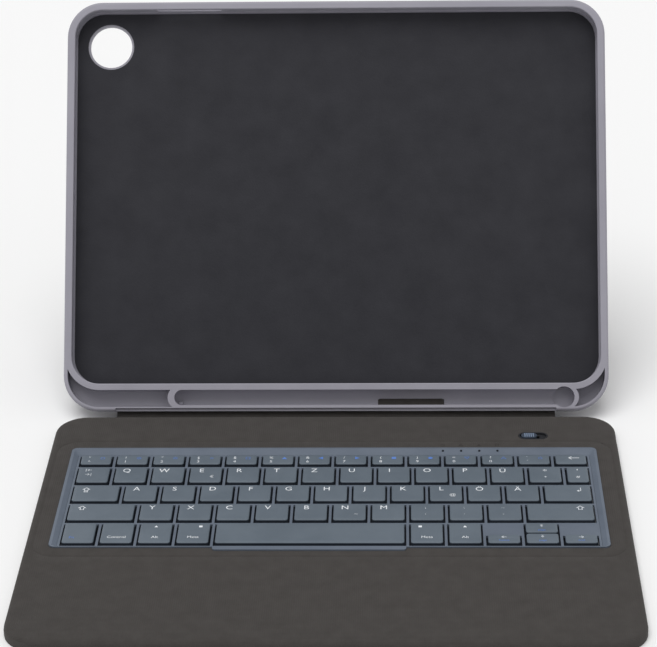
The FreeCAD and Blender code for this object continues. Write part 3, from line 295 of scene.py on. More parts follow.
# A warm dry grey, like the back of a notepad.
grey_board = matt_plastic("pressed_grey_board", "#8d857a", "#857d72", "#958d82", 0.9)
# A pale silver that drifts in tone.
cell_foil = matt_plastic("aluminium_foil_pouch", "#a9adb3", "#a0a4aa", "#b2b6bc", 0.4)
# A deep green with a lacquer sheen.
green_laminate = matt_plastic("solder_mask_laminate", "#1f4a36", "#1b4330", "#24523d", 0.35)
# A cold dark grey with a film's sheen.
membrane_film = matt_plastic("polyester_film", "#3a3f46", "#353a41", "#40454c", 0.4)
# A plain light grey with a soft sheen.
rolled_sheet = matt_plastic("rolled_aluminium_sheet", "#9a9da1", "#94979b", "#a0a3a7", 0.4)
print("finishes so far", len(bpy.data.materials))

# %% [markdown]
# The hard solids keep their shape from CAD, where their rounds and cut-outs are modelled. They could be
# copied and the copies finished, but it is enough to replace the materials on each node's own mesh.

# %% Finishes for the solids that stay
kept = {
    tray_plastic: ["tray_shell"],
    rim_plastic: ["keyboard_bezel", "key_grid"],
    switch_black: ["switch_surround", "slide_switch_case"],
    knob_grey: ["power_switch_knob"],
    smoked_pipe: ["light_pipes"],
    steel: ["usb_port", "closing_magnets", "stand_hinge_fixed_leaves", "stand_hinge_moving_leaves",
            "stand_hinge_pins"],
    foot_rubber: ["stand_foot_strip"],
    grey_board: ["deck_board", "back_panel_board"],
    cell_foil: ["battery_cell"],
    green_laminate: ["controller_board"],
    membrane_film: ["key_membrane"],
    rolled_sheet: ["key_base_plate"],
}
for finish, names in kept.items():
    for name in names:
        nodes[name].data.materials.clear()
        nodes[name].data.materials.append(finish)
print("finished solids", sum(len(names) for names in kept.values()))

# %% [markdown]
# A cloth face is a flat sheet with a turned edge, holes, and sometimes a pressed line. Subdividing a
# rectangle can't follow such outlines. Here the outlines themselves become loops of points. A turned edge is
# a stack of such loops, each a little further in and a little higher than the last.

# %% Outlines
LEAST_RADIUS = 0.2 * MM


def round_outline(low, high, corners, inset=0.0, steps=8):
    """Points round a rectangle, anticlockwise, with a radius for each corner."""
    ends = [(low[0], low[1], 1, 1), (high[0], low[1], -1, 1),
            (high[0], high[1], -1, -1), (low[0], high[1], 1, -1)]
    points = []
    for turn, ((x, y, to_x, to_y), corner) in enumerate(zip(ends, corners)):
        radius = max(corner - inset, LEAST_RADIUS)
        for step in range(steps + 1):
            angle = math.pi + (turn + step / steps) * math.pi / 2
            points.append((x + to_x * (inset + radius) + radius * math.cos(angle),
                           y + to_y * (inset + radius) + radius * math.sin(angle)))
    return points


def circle(x, y, radius, steps=40):
    """Points round a circle, anticlockwise."""
    turns = [2 * math.pi * step / steps for step in range(steps)]
    return [(x + radius * math.cos(turn), y + radius * math.sin(turn)) for turn in turns]


def turned_edge(low, high, corners, top, bend, steps=5):
    """Loops that round the edge of a face over, from its side to its flat."""
    loops = []
    for step in range(steps):
        angle = math.pi / 2 * step / (steps - 1)
        inset = bend * (1 - math.cos(angle))
        loops.append((round_outline(low, high, corners, inset), top - bend * (1 - math.sin(angle))))
    return loops


print("points round an outline", len(round_outline((0, 0), (1, 1), [0.1] * 4)))

# %% [markdown]
# A grid of points fills the space between the outlines, and a Delaunay triangulation joins them all, keeping
# the outlines as edges. Walls are then drawn down from the outer edge and from the holes. Flat coordinates in
# metres are kept as a UV map, because the weave has to follow the cloth.

# %% Cloth faces
SAME_PLACE = 1e-7  # points nearer to each other than this are one
SHARP_TURN = 0.7  # radians: an edge that turns by more stays sharp
WALL_TILT = 0.5  # a face whose normal rises less than this counts as a wall


def inside(x, y, loop):
    """Whether a point lies in a closed loop, by counting the edges that a ray from it crosses."""
    found = False
    for (ax, ay), (bx, by) in zip(loop, loop[1:] + loop[:1]):
        if (ay > y) != (by > y) and x < ax + (y - ay) * (bx - ax) / (by - ay):
            found = not found
    return found


def filling(flat, spacing):
    """A grid of points inside a loop."""
    left, right = min(p[0] for p in flat), max(p[0] for p in flat)
    front_end, rear = min(p[1] for p in flat), max(p[1] for p in flat)
    points = []
    for column in range(int((right - left) / spacing) + 1):
        for row in range(int((rear - front_end) / spacing) + 1):
            x, y = left + (column + 0.5) * spacing, front_end + (row + 0.5) * spacing
            if inside(x, y, flat):
                points.append(Vector((x, y)))
    return points


def draw_out(shape, rim):
    """Extrude an open edge, and give back the new corners."""
    grown = bmesh.ops.extrude_edge_only(shape, edges=rim)["geom"]
    return [item for item in grown if isinstance(item, bmesh.types.BMVert)]


def map_cloth(shape, flat_place):
    """Smooth the faces, and keep the flat place of each corner as a UV map."""
    flat_map = shape.loops.layers.uv.new("cloth")
    for face in shape.faces:
        face.smooth = True
        for corner in face.loops:
            corner[flat_map].uv = flat_place(face, *corner.vert.co)


def on_flat_or_wall(face, x, y, z):
    """Flat coordinates for a cloth face: across its flat, or along a wall."""
    return (x + y, z) if abs(face.normal.z) < WALL_TILT else (x, y)


def cloth_face(edge, top, foot, holes=(), lines=(), spacing=6 * MM):
    """A cloth face as a bmesh: edge loops, holes with the level of their foot, and pressed lines."""
    loops = list(edge) + [(hole[0], top) for hole in holes] + list(lines)
    points, heights, owners, links = [], [], [], []
    for number, (loop, height) in enumerate(loops):
        first = len(points)
        points += [Vector(point) for point in loop]
        heights += [height] * len(loop)
        owners += [number] * len(loop)
        links += [(first + i, first + (i + 1) % len(loop)) for i in range(len(loop))]
    between = filling(edge[-1][0], spacing)
    points += between
    heights += [top] * len(between)
    owners += [-1] * len(between)
    joined = delaunay_2d_cdt(points, links, [], 0, SAME_PLACE)
    found, faces, sources = joined[0], joined[2], joined[3]
    shape = bmesh.new()
    made = [shape.verts.new((p.x, p.y, heights[source[0]])) for p, source in zip(found, sources)]
    owner = {vertex: owners[source[0]] for vertex, source in zip(made, sources)}
    for face in faces:
        x, y = sum((found[i] for i in face), Vector((0, 0))) / len(face)
        if inside(x, y, edge[0][0]) and not any(inside(x, y, hole[0]) for hole in holes):
            shape.faces.new([made[i] for i in face])
    for number, level in [(0, foot)] + [(len(edge) + i, hole[1]) for i, hole in enumerate(holes)]:
        rim = [e for e in shape.edges if e.is_boundary and all(owner.get(v) == number for v in e.verts)]
        for vertex in draw_out(shape, rim):
            vertex.co.z = level
    bmesh.ops.delete(shape, geom=[v for v in shape.verts if not v.link_faces], context="VERTS")
    bmesh.ops.recalc_face_normals(shape, faces=shape.faces)
    if max(shape.faces, key=lambda f: f.calc_center_median().z).normal.z < 0:
        bmesh.ops.reverse_faces(shape, faces=shape.faces)
    map_cloth(shape, on_flat_or_wall)
    for e in shape.edges:
        e.smooth = not (len(e.link_faces) == 2 and e.calc_face_angle() > SHARP_TURN)
    return shape


print("edges that turn by more than", round(math.degrees(SHARP_TURN)), "degrees stay sharp")

# %% [markdown]
# A new piece that stands for a CAD solid hides it and moves with its body. The area of a sheet could be typed
# in, but it is measured on the mesh: the size of the face, and the turned edge on both sides.


def add_piece(name, shape, finishes, nodes_replaced=(), place=deck_frame):
    """Turn a bmesh into a named piece with its finishes, standing for the CAD nodes named."""
    mesh = bpy.data.meshes.new(name)
    shape.to_mesh(mesh)
    shape.free()
    mesh.transform(place)
    for finish in finishes:
        mesh.materials.append(finish)
    piece = bpy.data.objects.new(name, mesh)
    bpy.context.scene.collection.objects.link(piece)
    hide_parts(*nodes_replaced)
    print(name, len(mesh.polygons), "faces")
    return piece


def add_sheet(name, shape, finish, node, body, place):
    """A cloth face that stands for a CAD node and rides on a body; its area is measured but not used."""
    area = sum(face.calc_area() for face in shape.faces)
    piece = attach(add_piece(name, shape, [finish], [node], place), body)


# %% [markdown]
# The deck's cover is one cloth with an opening for the keyboard, a smaller one for the switch and a faint
# line where the cloth is pressed round the keyboard's frame. The space bar's thumb edge pushes the opening
# forwards, so its outline is the frame's, with the thumb edge's outline let in.

# %% Openings in the deck cover
FIT = 0.1 * MM
BEZEL_FLANGE = 3.0 * MM  # the part of the keyboard's frame that lies under the cloth
RIM_CORNER = 2.6 * MM
THUMB_BULGE = 2.3 * MM
THUMB_CORNER = 1.4 * MM
KEY_GAP = 0.6 * MM

bezel_low, bezel_high = box_of("keyboard_bezel")
rim_low = bezel_low + Vector((BEZEL_FLANGE, BEZEL_FLANGE, 0))
rim_high = bezel_high - Vector((BEZEL_FLANGE, BEZEL_FLANGE, 0))
bar_low, bar_high = box_of("space_bar")
switch_low, switch_high = box_of("switch_surround")

frame_loop = round_outline(rim_low, rim_high, [RIM_CORNER] * 4, -FIT)
corner_points = len(frame_loop) // 4
thumb_low = (bar_low.x - KEY_GAP, rim_low.y - THUMB_BULGE - FIT)
thumb_high = (bar_high.x + KEY_GAP, rim_low.y)
thumb = round_outline(thumb_low, thumb_high, [THUMB_CORNER] * 4)[:2 * corner_points]
thumb_left = (thumb[0][0], rim_low.y - FIT)
thumb_right = (thumb[-1][0], rim_low.y - FIT)
key_opening = frame_loop[:corner_points] + [thumb_left] + thumb + [thumb_right] + frame_loop[corner_points:]
switch_bend = (switch_high.y - switch_low.y) / 2
switch_opening = round_outline(switch_low, switch_high, [switch_bend] * 4, -FIT)
print("keyboard opening", [round(side / MM, 1) for side in (rim_high - rim_low).xy], "mm")

# %% [markdown]
# With its openings drawn, the cover is a cloth face like any other. The pressed line could be a bump in the
# finish, but a groove in the mesh catches the light as pressed cloth does. It is three loops, and the middle
# one lies lower.

# %% Deck cover
DECK_CORNER = 14.0 * MM
EDGE_BEND = 2.0 * MM
CLOTH = 0.9 * MM
PRESSED_LINE = 6.8 * MM
PRESSED_DEPTH = 0.3 * MM
PRESSED_WIDTH = 0.7 * MM

deck_low, deck_high = box_of("deck_top_skin")
pressed = []
for shift, sink in ((-PRESSED_WIDTH, 0), (0, PRESSED_DEPTH), (PRESSED_WIDTH, 0)):
    loop = round_outline(rim_low, rim_high, [RIM_CORNER] * 4, -PRESSED_LINE - shift)
    pressed.append((loop, deck_high.z - sink))
edge = turned_edge(deck_low, deck_high, [DECK_CORNER] * 4, deck_high.z, EDGE_BEND)
openings = [(loop, deck_high.z - CLOTH) for loop in (key_opening, switch_opening)]
top_cloth = cloth_face(edge, deck_high.z, deck_low.z, openings, pressed)
print("top cloth", len(top_cloth.faces), "faces before its mouth is cut")

# %% [markdown]
# The charging port looks out through the deck's right edge. Its mouth crosses both the upright wall and the
# turned edge of the cloth, so it can't be one more hole in the flat outline. A Boolean would need a closed
# shape. Here the wall is sliced along the sides of the mouth, the faces inside are deleted, and the new edge
# is drawn inwards.

# %% Mouth for the charging port
MOUTH_SIDES = 16
MOUTH_DEPTH = 0.35 * MM
FACING = 0.2  # a face whose normal points this far along X belongs to the right wall


def cut_mouth(shape, low, high, grow):
    """Cut a mouth with half-round ends through a wall that faces +X."""
    middle = (low + high) / 2
    bend = (high.z - low.z) / 2 + grow
    reach = (high.y - low.y) / 2 + grow - bend
    near = 2 * (reach + bend)
    sides = []
    for step in range(MOUTH_SIDES):
        turn = 2 * math.pi * step / MOUTH_SIDES
        out = Vector((0, math.cos(turn), math.sin(turn)))
        sides.append((middle + out * (abs(out.y) * reach + bend), out))
    ends = [(middle + Vector((0, way * near, 0)), Vector((0, way, 0))) for way in (-1, 1)]
    for number, (point, out) in enumerate(ends + sides):
        wall = [f for f in shape.faces if f.normal.x > FACING and f.calc_center_median().x > middle.x]
        if number >= len(ends):
            wall = [f for f in wall if abs(f.calc_center_median().y - middle.y) < near]
        parts = {part for face in wall for part in (face, *face.edges, *face.verts)}
        bmesh.ops.bisect_plane(shape, geom=list(parts), dist=SAME_PLACE, plane_co=point, plane_no=out)
    before = {e for e in shape.edges if e.is_boundary}
    gone = [face for face in shape.faces if face.normal.x > FACING and all(
        (face.calc_center_median() - point).dot(out) < 0 for point, out in sides)]
    bmesh.ops.delete(shape, geom=gone, context="FACES")
    rim = [e for e in shape.edges if e.is_boundary and e not in before]
    for vertex in draw_out(shape, rim):
        vertex.co.x -= MOUTH_DEPTH
    for e in rim:
        e.smooth = False
    print("mouth cut from", len(gone), "faces")


port_low, port_high = box_of("usb_port")
cut_mouth(top_cloth, port_low, port_high, -FIT)
add_sheet("deck_cover", top_cloth, woven_cover, "deck_top_skin", "deck", deck_frame)

# %% [markdown]
# Under the deck lies a second piece of the same cloth, a plain sheet with its edge turned in. It is drawn in
# a frame that is turned over, so that the same function can make it face up as if it lay on its back.

# %% Deck base
BASE_BEND = 0.5 * MM


def local_box(node, place):
    """Lowest and highest corner of a CAD node, measured in a frame."""
    inverse = place.inverted()
    points = [inverse @ vertex.co for vertex in nodes[node].data.vertices]
    low = Vector(min(point[axis] for point in points) for axis in range(3))
    high = Vector(max(point[axis] for point in points) for axis in range(3))
    return low, high


def lay_cloth(name, node, finish, body, place, corners, bend, hole=None, depth=None):
    """Lay a cloth face on a CAD node in a frame where it looks up, down to the node's foot or a depth."""
    low, high = local_box(node, place)
    edge = turned_edge(low, high, corners, high.z, bend)
    foot = high.z - depth if depth else low.z
    shape = cloth_face(edge, high.z, foot, [(hole, low.z)] if hole else [])
    add_sheet(name, shape, finish, node, body, place)


lay_cloth("deck_base_cover", "deck_bottom_skin", woven_cover, "deck", turned_over,
          [DECK_CORNER] * 4, BASE_BEND)

# %% [markdown]
# The tray's floor and the back panel are cloth faces as well, drawn flat in the tray's frame. The back panel
# faces backwards, so its frame is turned over first. Both have a round hole for a camera, at the same place,
# which could be cut with a Boolean but is simply one more loop.

# %% Lining and back panel
LINING_CORNER = 12.8 * MM
LINING_BEND = 0.3 * MM
CAMERA_INSET = 16.0 * MM  # from the lining's edges to the middle of the camera hole
LINING_HOLE = 11.0 * MM
PANEL_HOLE = 12.0 * MM
PANEL_CORNER = 12.2 * MM
PANEL_BEND = 0.9 * MM
SQUARE = 0.5 * MM

lining_low, lining_high = local_box("tray_lining", tray_frame)
camera_x, camera_y = lining_low.x + CAMERA_INSET, lining_high.y - CAMERA_INSET
lay_cloth("tray_floor_lining", "tray_lining", lining_nap, "tray", tray_frame,
          [LINING_CORNER] * 4, LINING_BEND, circle(camera_x, camera_y, LINING_HOLE))
lay_cloth("back_panel_cover", "back_panel_skin", woven_cover, "tray", tray_frame @ turned_over,
          [SQUARE, SQUARE, PANEL_CORNER, PANEL_CORNER], PANEL_BEND,
          circle(-camera_x, camera_y, PANEL_HOLE))

# %% [markdown]
# The stand is a stiff board with cover cloth outside and lining inside. It could be one thick piece with two
# finishes, but each cloth has its own turned edge, so it is two sheets back to back.

# %% Stand
STAND_CORNER = 10.0 * MM
INNER_BEND = 0.2 * MM

stand_corners = [STAND_CORNER, STAND_CORNER, SQUARE, SQUARE]
lay_cloth("stand_cover", "stand_skin", woven_cover, "stand", stand_frame @ turned_over,
          stand_corners, PANEL_BEND)
lay_cloth("stand_inner_lining", "stand_board", lining_nap, "stand", stand_frame,
          stand_corners, INNER_BEND, depth=CLOTH)

# %% [markdown]
# The hinge is a strip of the cover cloth, glued to the rear edge of the deck and to the tray's lower wall,
# with a slack loop between. It could be a simulated cloth, but so short a strip hardly sags, so its profile
# is worked out in the YZ plane: down the deck's edge, round the hinge's axis, and up the tray's wall.

# %% Profile of the cloth hinge
LOOP_RADIUS = 4.9 * MM
STRIP = 0.7 * MM
LOOP_STEPS = 18

strip_low, strip_high = local_box("hinge_strip_tray_side", tray_frame)
flange_low, flange_high = box_of("hinge_strip_deck_side")
glued = [tray_frame @ Vector((0, -STRIP / 2, level)) for level in (strip_high.z, strip_low.z)]
deck_end = Vector((0, flange_low.y + STRIP / 2, 0))
start_turn = -math.pi + math.acos((hinge.y - deck_end.y) / LOOP_RADIUS)
end_turn = math.atan2(glued[0].z - hinge.z, glued[0].y - hinge.y)
end_radius = (glued[0] - hinge).yz.length
profile = [(deck_end.y, deck_low.z + EDGE_BEND)]
for step in range(LOOP_STEPS + 1):
    share = step / LOOP_STEPS
    turn = start_turn + (end_turn - start_turn) * share
    radius = LOOP_RADIUS + (end_radius - LOOP_RADIUS) * share
    profile.append((hinge.y + radius * math.cos(turn), hinge.z + radius * math.sin(turn)))
profile.append((glued[1].y, glued[1].z))

# %% [markdown]
# The profile is given the cloth's thickness and drawn out along X.

# %% Cloth hinge
strip = bmesh.new()
half_width = (flange_high.x - flange_low.x) / 2
corners = ((-half_width, 1), (half_width, 1), (half_width, -1), (-half_width, -1))
sides = []
for index, (y, z) in enumerate(profile):
    before, after = profile[max(index - 1, 0)], profile[min(index + 1, len(profile) - 1)]
    along = Vector((after[0] - before[0], after[1] - before[1])).normalized()
    across = Vector((-along.y, along.x)) * STRIP / 2
    sides.append([strip.verts.new((x, y + sign * across.x, z + sign * across.y)) for x, sign in corners])
for near, far in zip(sides, sides[1:]):
    for i in range(4):
        strip.faces.new((near[i], near[(i + 1) % 4], far[(i + 1) % 4], far[i]))
strip.faces.new(sides[0])
strip.faces.new(sides[-1])
bmesh.ops.recalc_face_normals(strip, faces=strip.faces)
map_cloth(strip, lambda face, x, y, z: (x, y + z))
hinge_cloth = add_piece("hinge_cloth", strip, [woven_cover],
                        ["hinge_strip_deck_side", "hinge_strip_tray_side"])
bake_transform(hinge_cloth)

# %% [markdown]
# The pen channel under the pocket is round inside. A window in it shows the cloth behind, and a small nub
# near its closed end keeps a pen from sliding. Both follow the round of the channel, so they are drawn as
# angles about its axis: 0 is the deepest line of the channel and a quarter turn is its lower wall.

# %% Window in the pen channel
CHANNEL_BORE = 9.5 * MM
WINDOW_MIDDLE = 35.4 * MM
WINDOW_LENGTH = 31.0 * MM
WINDOW_TAPER = 1.0 * MM  # the window's upper edge is shorter by this at each end
WINDOW_SHADE = 0.3 * MM  # how far the cloth stands off the channel's wall
WINDOW_TOUCH = 0.02 * MM  # the same at its upper edge, where it meets the wall
WINDOW_TURNS = (2, 8, 20, 35, 50, 65, 80)

channel = tray_frame.inverted() @ Vector(mounts["stylus_channel"]["pos_m"])


def on_channel(x, degrees, radius):
    """A point on the channel's wall, in the tray's frame."""
    angle = math.radians(degrees)
    return x, channel.y - radius * math.sin(angle), channel.z - radius * math.cos(angle)


patch = bmesh.new()
rows = []
for turn in WINDOW_TURNS:
    at_top = turn == WINDOW_TURNS[0]
    reach = WINDOW_LENGTH / 2 - (WINDOW_TAPER if at_top else 0)
    radius = CHANNEL_BORE / 2 - (WINDOW_TOUCH if at_top else WINDOW_SHADE)
    ends = (WINDOW_MIDDLE - reach, WINDOW_MIDDLE + reach)
    rows.append([patch.verts.new(on_channel(x, turn, radius)) for x in ends])
for above, below in zip(rows, rows[1:]):
    patch.faces.new((above[0], below[0], below[1], above[1]))
map_cloth(patch, lambda face, x, y, z: (x, y - z))
window_area = sum(face.calc_area() for face in patch.faces)
window_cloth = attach(add_piece("window_cloth", patch, [woven_cover], [], tray_frame), "tray")

# %% [markdown]
# The nub is a small moulded ball, half sunk in the wall near the channel's closed end. A Boolean could join
# it to the wall, but the sunk half is never seen, so a plain sphere is enough.

# %% Nub in the pen channel
NUB_PLACE = -72.9 * MM
NUB_RADIUS = 1.3 * MM
NUB_TURN = 30  # degrees from the deepest line

nub = bmesh.new()
bmesh.ops.create_uvsphere(nub, u_segments=20, v_segments=12, radius=NUB_RADIUS,
                          matrix=Matrix.Translation(on_channel(NUB_PLACE, NUB_TURN, CHANNEL_BORE / 2)))
for face in nub.faces:
    face.smooth = True
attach(add_piece("channel_nub", nub, [tray_plastic], [], tray_frame), "tray")

# %% [markdown]
# A key cap is a rounded rectangle that narrows upwards, with a soft rim and a slightly dished top. It could
# be a bevelled box, but a bevel can't dish the top, so each cap is a stack of outlines, joined ring by ring.
# The caps of one CAD node are found as the separate islands of its mesh, and become one mesh again.

# %% Key caps
CAP_CORNER = 1.2 * MM
CORNER_STEPS = 5
CAP_DRAFT = 0.22 * MM
CAP_RIM = 0.45 * MM
RIM_STEPS = 4
CAP_DISH = 0.06 * MM
DISH_RINGS = ((1.6 * MM, 0.5), (3.0 * MM, 1.0))  # distance from the rim, and share of the dish's depth
TOP, WHITE, BLUE, SHADED_SKIRT = range(4)  # places of the four finishes on a cap
WELD = 1e-6  # corners nearer to each other than this are one


def islands(node):
    """Boxes of the separate solids in a CAD node."""
    copy = bmesh.new()
    copy.from_mesh(nodes[node].data)
    bmesh.ops.remove_doubles(copy, verts=copy.verts, dist=WELD)
    waiting, boxes = set(copy.verts), []
    while waiting:
        found, fresh = set(), [waiting.pop()]
        while fresh:
            vertex = fresh.pop()
            found.add(vertex)
            beyond = {e.other_vert(vertex) for e in vertex.link_edges} & waiting
            waiting -= beyond
            fresh += beyond
        boxes.append((Vector(min(v.co[a] for v in found) for a in range(3)),
                      Vector(max(v.co[a] for v in found) for a in range(3))))
    copy.free()
    return boxes


def add_cap(shape, low, high):
    """One cap: rings from its foot to its dished top."""
    rings = [(0, low.z), (CAP_DRAFT, high.z - CAP_RIM)]
    for step in range(1, RIM_STEPS + 1):
        angle = math.pi / 2 * step / RIM_STEPS
        inset = CAP_DRAFT + CAP_RIM * (1 - math.cos(angle))
        rings.append((inset, high.z - CAP_RIM * (1 - math.sin(angle))))
    for inset, share in DISH_RINGS:
        rings.append((CAP_DRAFT + CAP_RIM + inset, high.z - CAP_DISH * share))
    loops = []
    for inset, level in rings:
        outline = round_outline(low, high, [CAP_CORNER + CAP_DRAFT] * 4, inset, CORNER_STEPS)
        loops.append([shape.verts.new((x, y, level)) for x, y in outline])
    for band, (near, far) in enumerate(zip(loops, loops[1:])):
        for i in range(len(near)):
            side = shape.faces.new((near[i], near[(i + 1) % len(near)], far[(i + 1) % len(far)], far[i]))
            # The lowest band, the cap's side, takes the painted shade.
            side.material_index = TOP if band else SHADED_SKIRT
    shape.faces.new(loops[-1])
    for face in shape.faces:
        face.smooth = True


letters = sorted(name for name in nodes if name.startswith("key_") and len(name) == len("key_a"))
key_nodes = letters + ["space_bar", "number_row_keys", "function_keys"]
key_boxes = {node: islands(node) for node in key_nodes}
print("keys", sum(len(boxes) for boxes in key_boxes.values()))

# %% [markdown]
# Letters, digits and plain signs are printed on the caps in white, with a second set in blue. Each sign has
# its size, its place across and up the cap as shares of the cap's sides, and its ink.

# %% Signs on the keys
LETTER = 4.5 * MM
BIG_SIGN = 4.4 * MM
RETURN_SIGN = 5.0 * MM
SMALL = 2.7 * MM
WORD = 2.5 * MM
SIDE_ARROW = 3.0 * MM
UPRIGHT_ARROW = 2.8 * MM
CORNER_SIGN = 2.8 * MM
SQUARE_MARK = 2.0 * MM
POINTED_MARK = 1.8 * MM
SIDE_HINT = 1.9 * MM
UPRIGHT_HINT = 1.8 * MM

shifted = ["°", "!", "\"", "§", "$", "%", "&", "/", "(", ")", "=", "?", "`", ""]
plain = ["^", "1", "2", "3", "4", "5", "6", "7", "8", "9", "0", "ß", "´", ""]
second = ["○", "☼", "☼", "⌕", "□", "▲", "◀", "▶", "■", "●", "▽", "△", "⌂", ""]
number_legends = []
for upper, lower, blue in zip(shifted, plain, second):
    number_legends.append([(upper, SMALL, 0.28, 0.68, WHITE), (lower, SMALL, 0.28, 0.27, WHITE),
                           (blue, SMALL, 0.7, 0.62, BLUE)])
number_legends[-1] = [("⟵", BIG_SIGN, 0.6, 0.62, WHITE)]
function_legends = [
    [("|←", SMALL, 0.34, 0.78, WHITE), ("→|", SMALL, 0.34, 0.5, WHITE)],
    [("Ü", LETTER, 0.36, 0.72, WHITE)],
    [("*", LETTER, 0.5, 0.68, WHITE), ("+", SMALL, 0.5, 0.32, WHITE)],
    [("'", LETTER, 0.5, 0.68, WHITE), ("#", SMALL, 0.5, 0.32, WHITE)],
    [("⇪", BIG_SIGN, 0.28, 0.68, WHITE)],
    [("Ö", LETTER, 0.36, 0.72, WHITE)],
    [("Ä", LETTER, 0.36, 0.72, WHITE)],
    [("↲", RETURN_SIGN, 0.74, 0.66, WHITE)],
    [("⇧", BIG_SIGN, 0.2, 0.7, WHITE)],
    [(";", SMALL, 0.45, 0.74, WHITE), (",", SMALL, 0.45, 0.4, WHITE)],
    [(":", SMALL, 0.45, 0.74, WHITE), (".", SMALL, 0.45, 0.4, WHITE)],
    [("_", SMALL, 0.45, 0.8, WHITE), ("-", SMALL, 0.45, 0.36, WHITE)],
    [("⇧", BIG_SIGN, 0.8, 0.7, WHITE)],
    [("Fn", WORD, 0.3, 0.26, BLUE)],
    [("Control", WORD, 0.5, 0.28, WHITE)],
    [("Alt", WORD, 0.5, 0.28, WHITE), ("▲", POINTED_MARK, 0.5, 0.8, WHITE)],
    [("Meta", WORD, 0.5, 0.28, WHITE), ("■", SQUARE_MARK, 0.7, 0.8, WHITE)],
    [("Meta", WORD, 0.5, 0.28, WHITE), ("■", SQUARE_MARK, 0.3, 0.8, WHITE)],
    [("Alt", WORD, 0.5, 0.28, WHITE), ("▲", POINTED_MARK, 0.5, 0.8, WHITE)],
    [("←", SIDE_ARROW, 0.5, 0.66, WHITE), ("home", SIDE_HINT, 0.5, 0.3, BLUE)],
    [("⇑", UPRIGHT_ARROW, 0.5, 0.66, WHITE), ("page", UPRIGHT_HINT, 0.5, 0.26, BLUE)],
    [("⇓", UPRIGHT_ARROW, 0.5, 0.66, WHITE), ("page", UPRIGHT_HINT, 0.5, 0.26, BLUE)],
    [("→", SIDE_ARROW, 0.5, 0.66, WHITE), ("end", SIDE_HINT, 0.5, 0.3, BLUE)],
]
corner_signs = {"e": "€", "l": "@", "n": "~"}
print("keys with signs", len(number_legends) + len(function_legends) + len(letters))

# %% [markdown]
# A printed sign is flat type turned into a mesh and laid just above the cap, because a texture would need an
# image. Blender's own type face has the arrows that such keys carry. The type is filled at a size of 1 and
# then scaled down, since very small outlines don't fill cleanly.

# %% Caps with their print
INK = 0.03 * MM
TYPE_STEPS = 4  # points on each curved stretch of a sign

row_middles = [sum(corner[1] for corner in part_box(node)) / 2
               for node in ("number_row_keys", "key_q", "key_a", "key_y", "space_bar")]


def print_sign(shape, sign, size, place, ink):
    """Lay flat type on a point of a mesh."""
    curve = bpy.data.curves.new("type", "FONT")
    curve.body = sign
    curve.align_x = "CENTER"
    curve.align_y = "CENTER"
    curve.resolution_u = TYPE_STEPS
    holder = bpy.data.objects.new("type", curve)
    mesh = bpy.data.meshes.new_from_object(holder)
    mesh.transform(Matrix.Translation(place) @ Matrix.Scale(size, 4))
    first = len(shape.faces)
    shape.from_mesh(mesh)
    shape.faces.ensure_lookup_table()
    for face in shape.faces[first:]:
        face.material_index = ink
        face.smooth = False
    bpy.data.objects.remove(holder)
    bpy.data.curves.remove(curve)
    bpy.data.meshes.remove(mesh)


def in_reading_order(key):
    """Row by row from the back, then from the left, then from the back again."""
    low, high = key
    x, y = (low.x + high.x) / 2, (low.y + high.y) / 2
    row = min(range(len(row_middles)), key=lambda i: abs(row_middles[i] - y))
    return row, round(x / MM), -y


def add_keys(node, body, legends):
    """The caps of one CAD node with their print, riding on their body."""
    shape = bmesh.new()
    caps = sorted(key_boxes[node], key=in_reading_order)
    for low, high in caps:
        add_cap(shape, low, high)
    bmesh.ops.recalc_face_normals(shape, faces=shape.faces)
    for (low, high), signs in zip(caps, legends):
        for sign, size, across, up, ink in signs:
            x = low.x + across * (high.x - low.x)
            y = low.y + up * (high.y - low.y)
            print_sign(shape, sign, size, (x, y, high.z + INK), ink)
    finishes = [cap_plastic, white_ink, blue_ink, painted_shade_skirt]
    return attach(add_piece(f"{node}_caps", shape, finishes, [node]), body)


for name in letters:
    letter = name[-1]
    legend = [(letter.upper(), LETTER, 0.36, 0.74, WHITE)]
    if letter in corner_signs:
        legend.append((corner_signs[letter], CORNER_SIGN, 0.7, 0.36, WHITE))
    add_keys(name, name, [legend])
add_keys("space_bar", "space_bar", [[]])
add_keys("number_row_keys", "number_keys", number_legends)
add_keys("function_keys", "function_key_group", function_legends)

# %% [markdown]
# What repeats is made by Geometry Nodes. A tree gets points and a few named sizes, and puts the same small
# form on every point. Its result is turned into a plain mesh at once, so that nothing is left to evaluate
# later.


# %% Helpers for repeated forms
def new_tree(name, sizes):
    """A Geometry Nodes tree with a named input for each size, and the sockets that give those inputs."""
    tree = bpy.data.node_groups.new(name, "GeometryNodeTree")
    tree.interface.new_socket("Geometry", in_out="INPUT", socket_type="NodeSocketGeometry")
    tree.interface.new_socket("Geometry", in_out="OUTPUT", socket_type="NodeSocketGeometry")
    for size in sizes:
        tree.interface.new_socket(size, in_out="INPUT", socket_type="NodeSocketFloat")
    return tree, add_node(tree, "NodeGroupInput").outputs


def repeat(tree, points, form, finish):
    """Put a form on each point, make the copies real, and give them their finish."""
    spread = add_node(tree, "GeometryNodeInstanceOnPoints", {}, {}, {"Points": points, "Instance": form})
    real = add_node(tree, "GeometryNodeRealizeInstances", {}, {}, {"Geometry": spread.outputs["Instances"]})
    painted = add_node(tree, "GeometryNodeSetMaterial", {}, {"Material": finish},
                       {"Geometry": real.outputs["Geometry"]})
    add_node(tree, "NodeGroupOutput", {}, {}, {"Geometry": painted.outputs["Geometry"]})


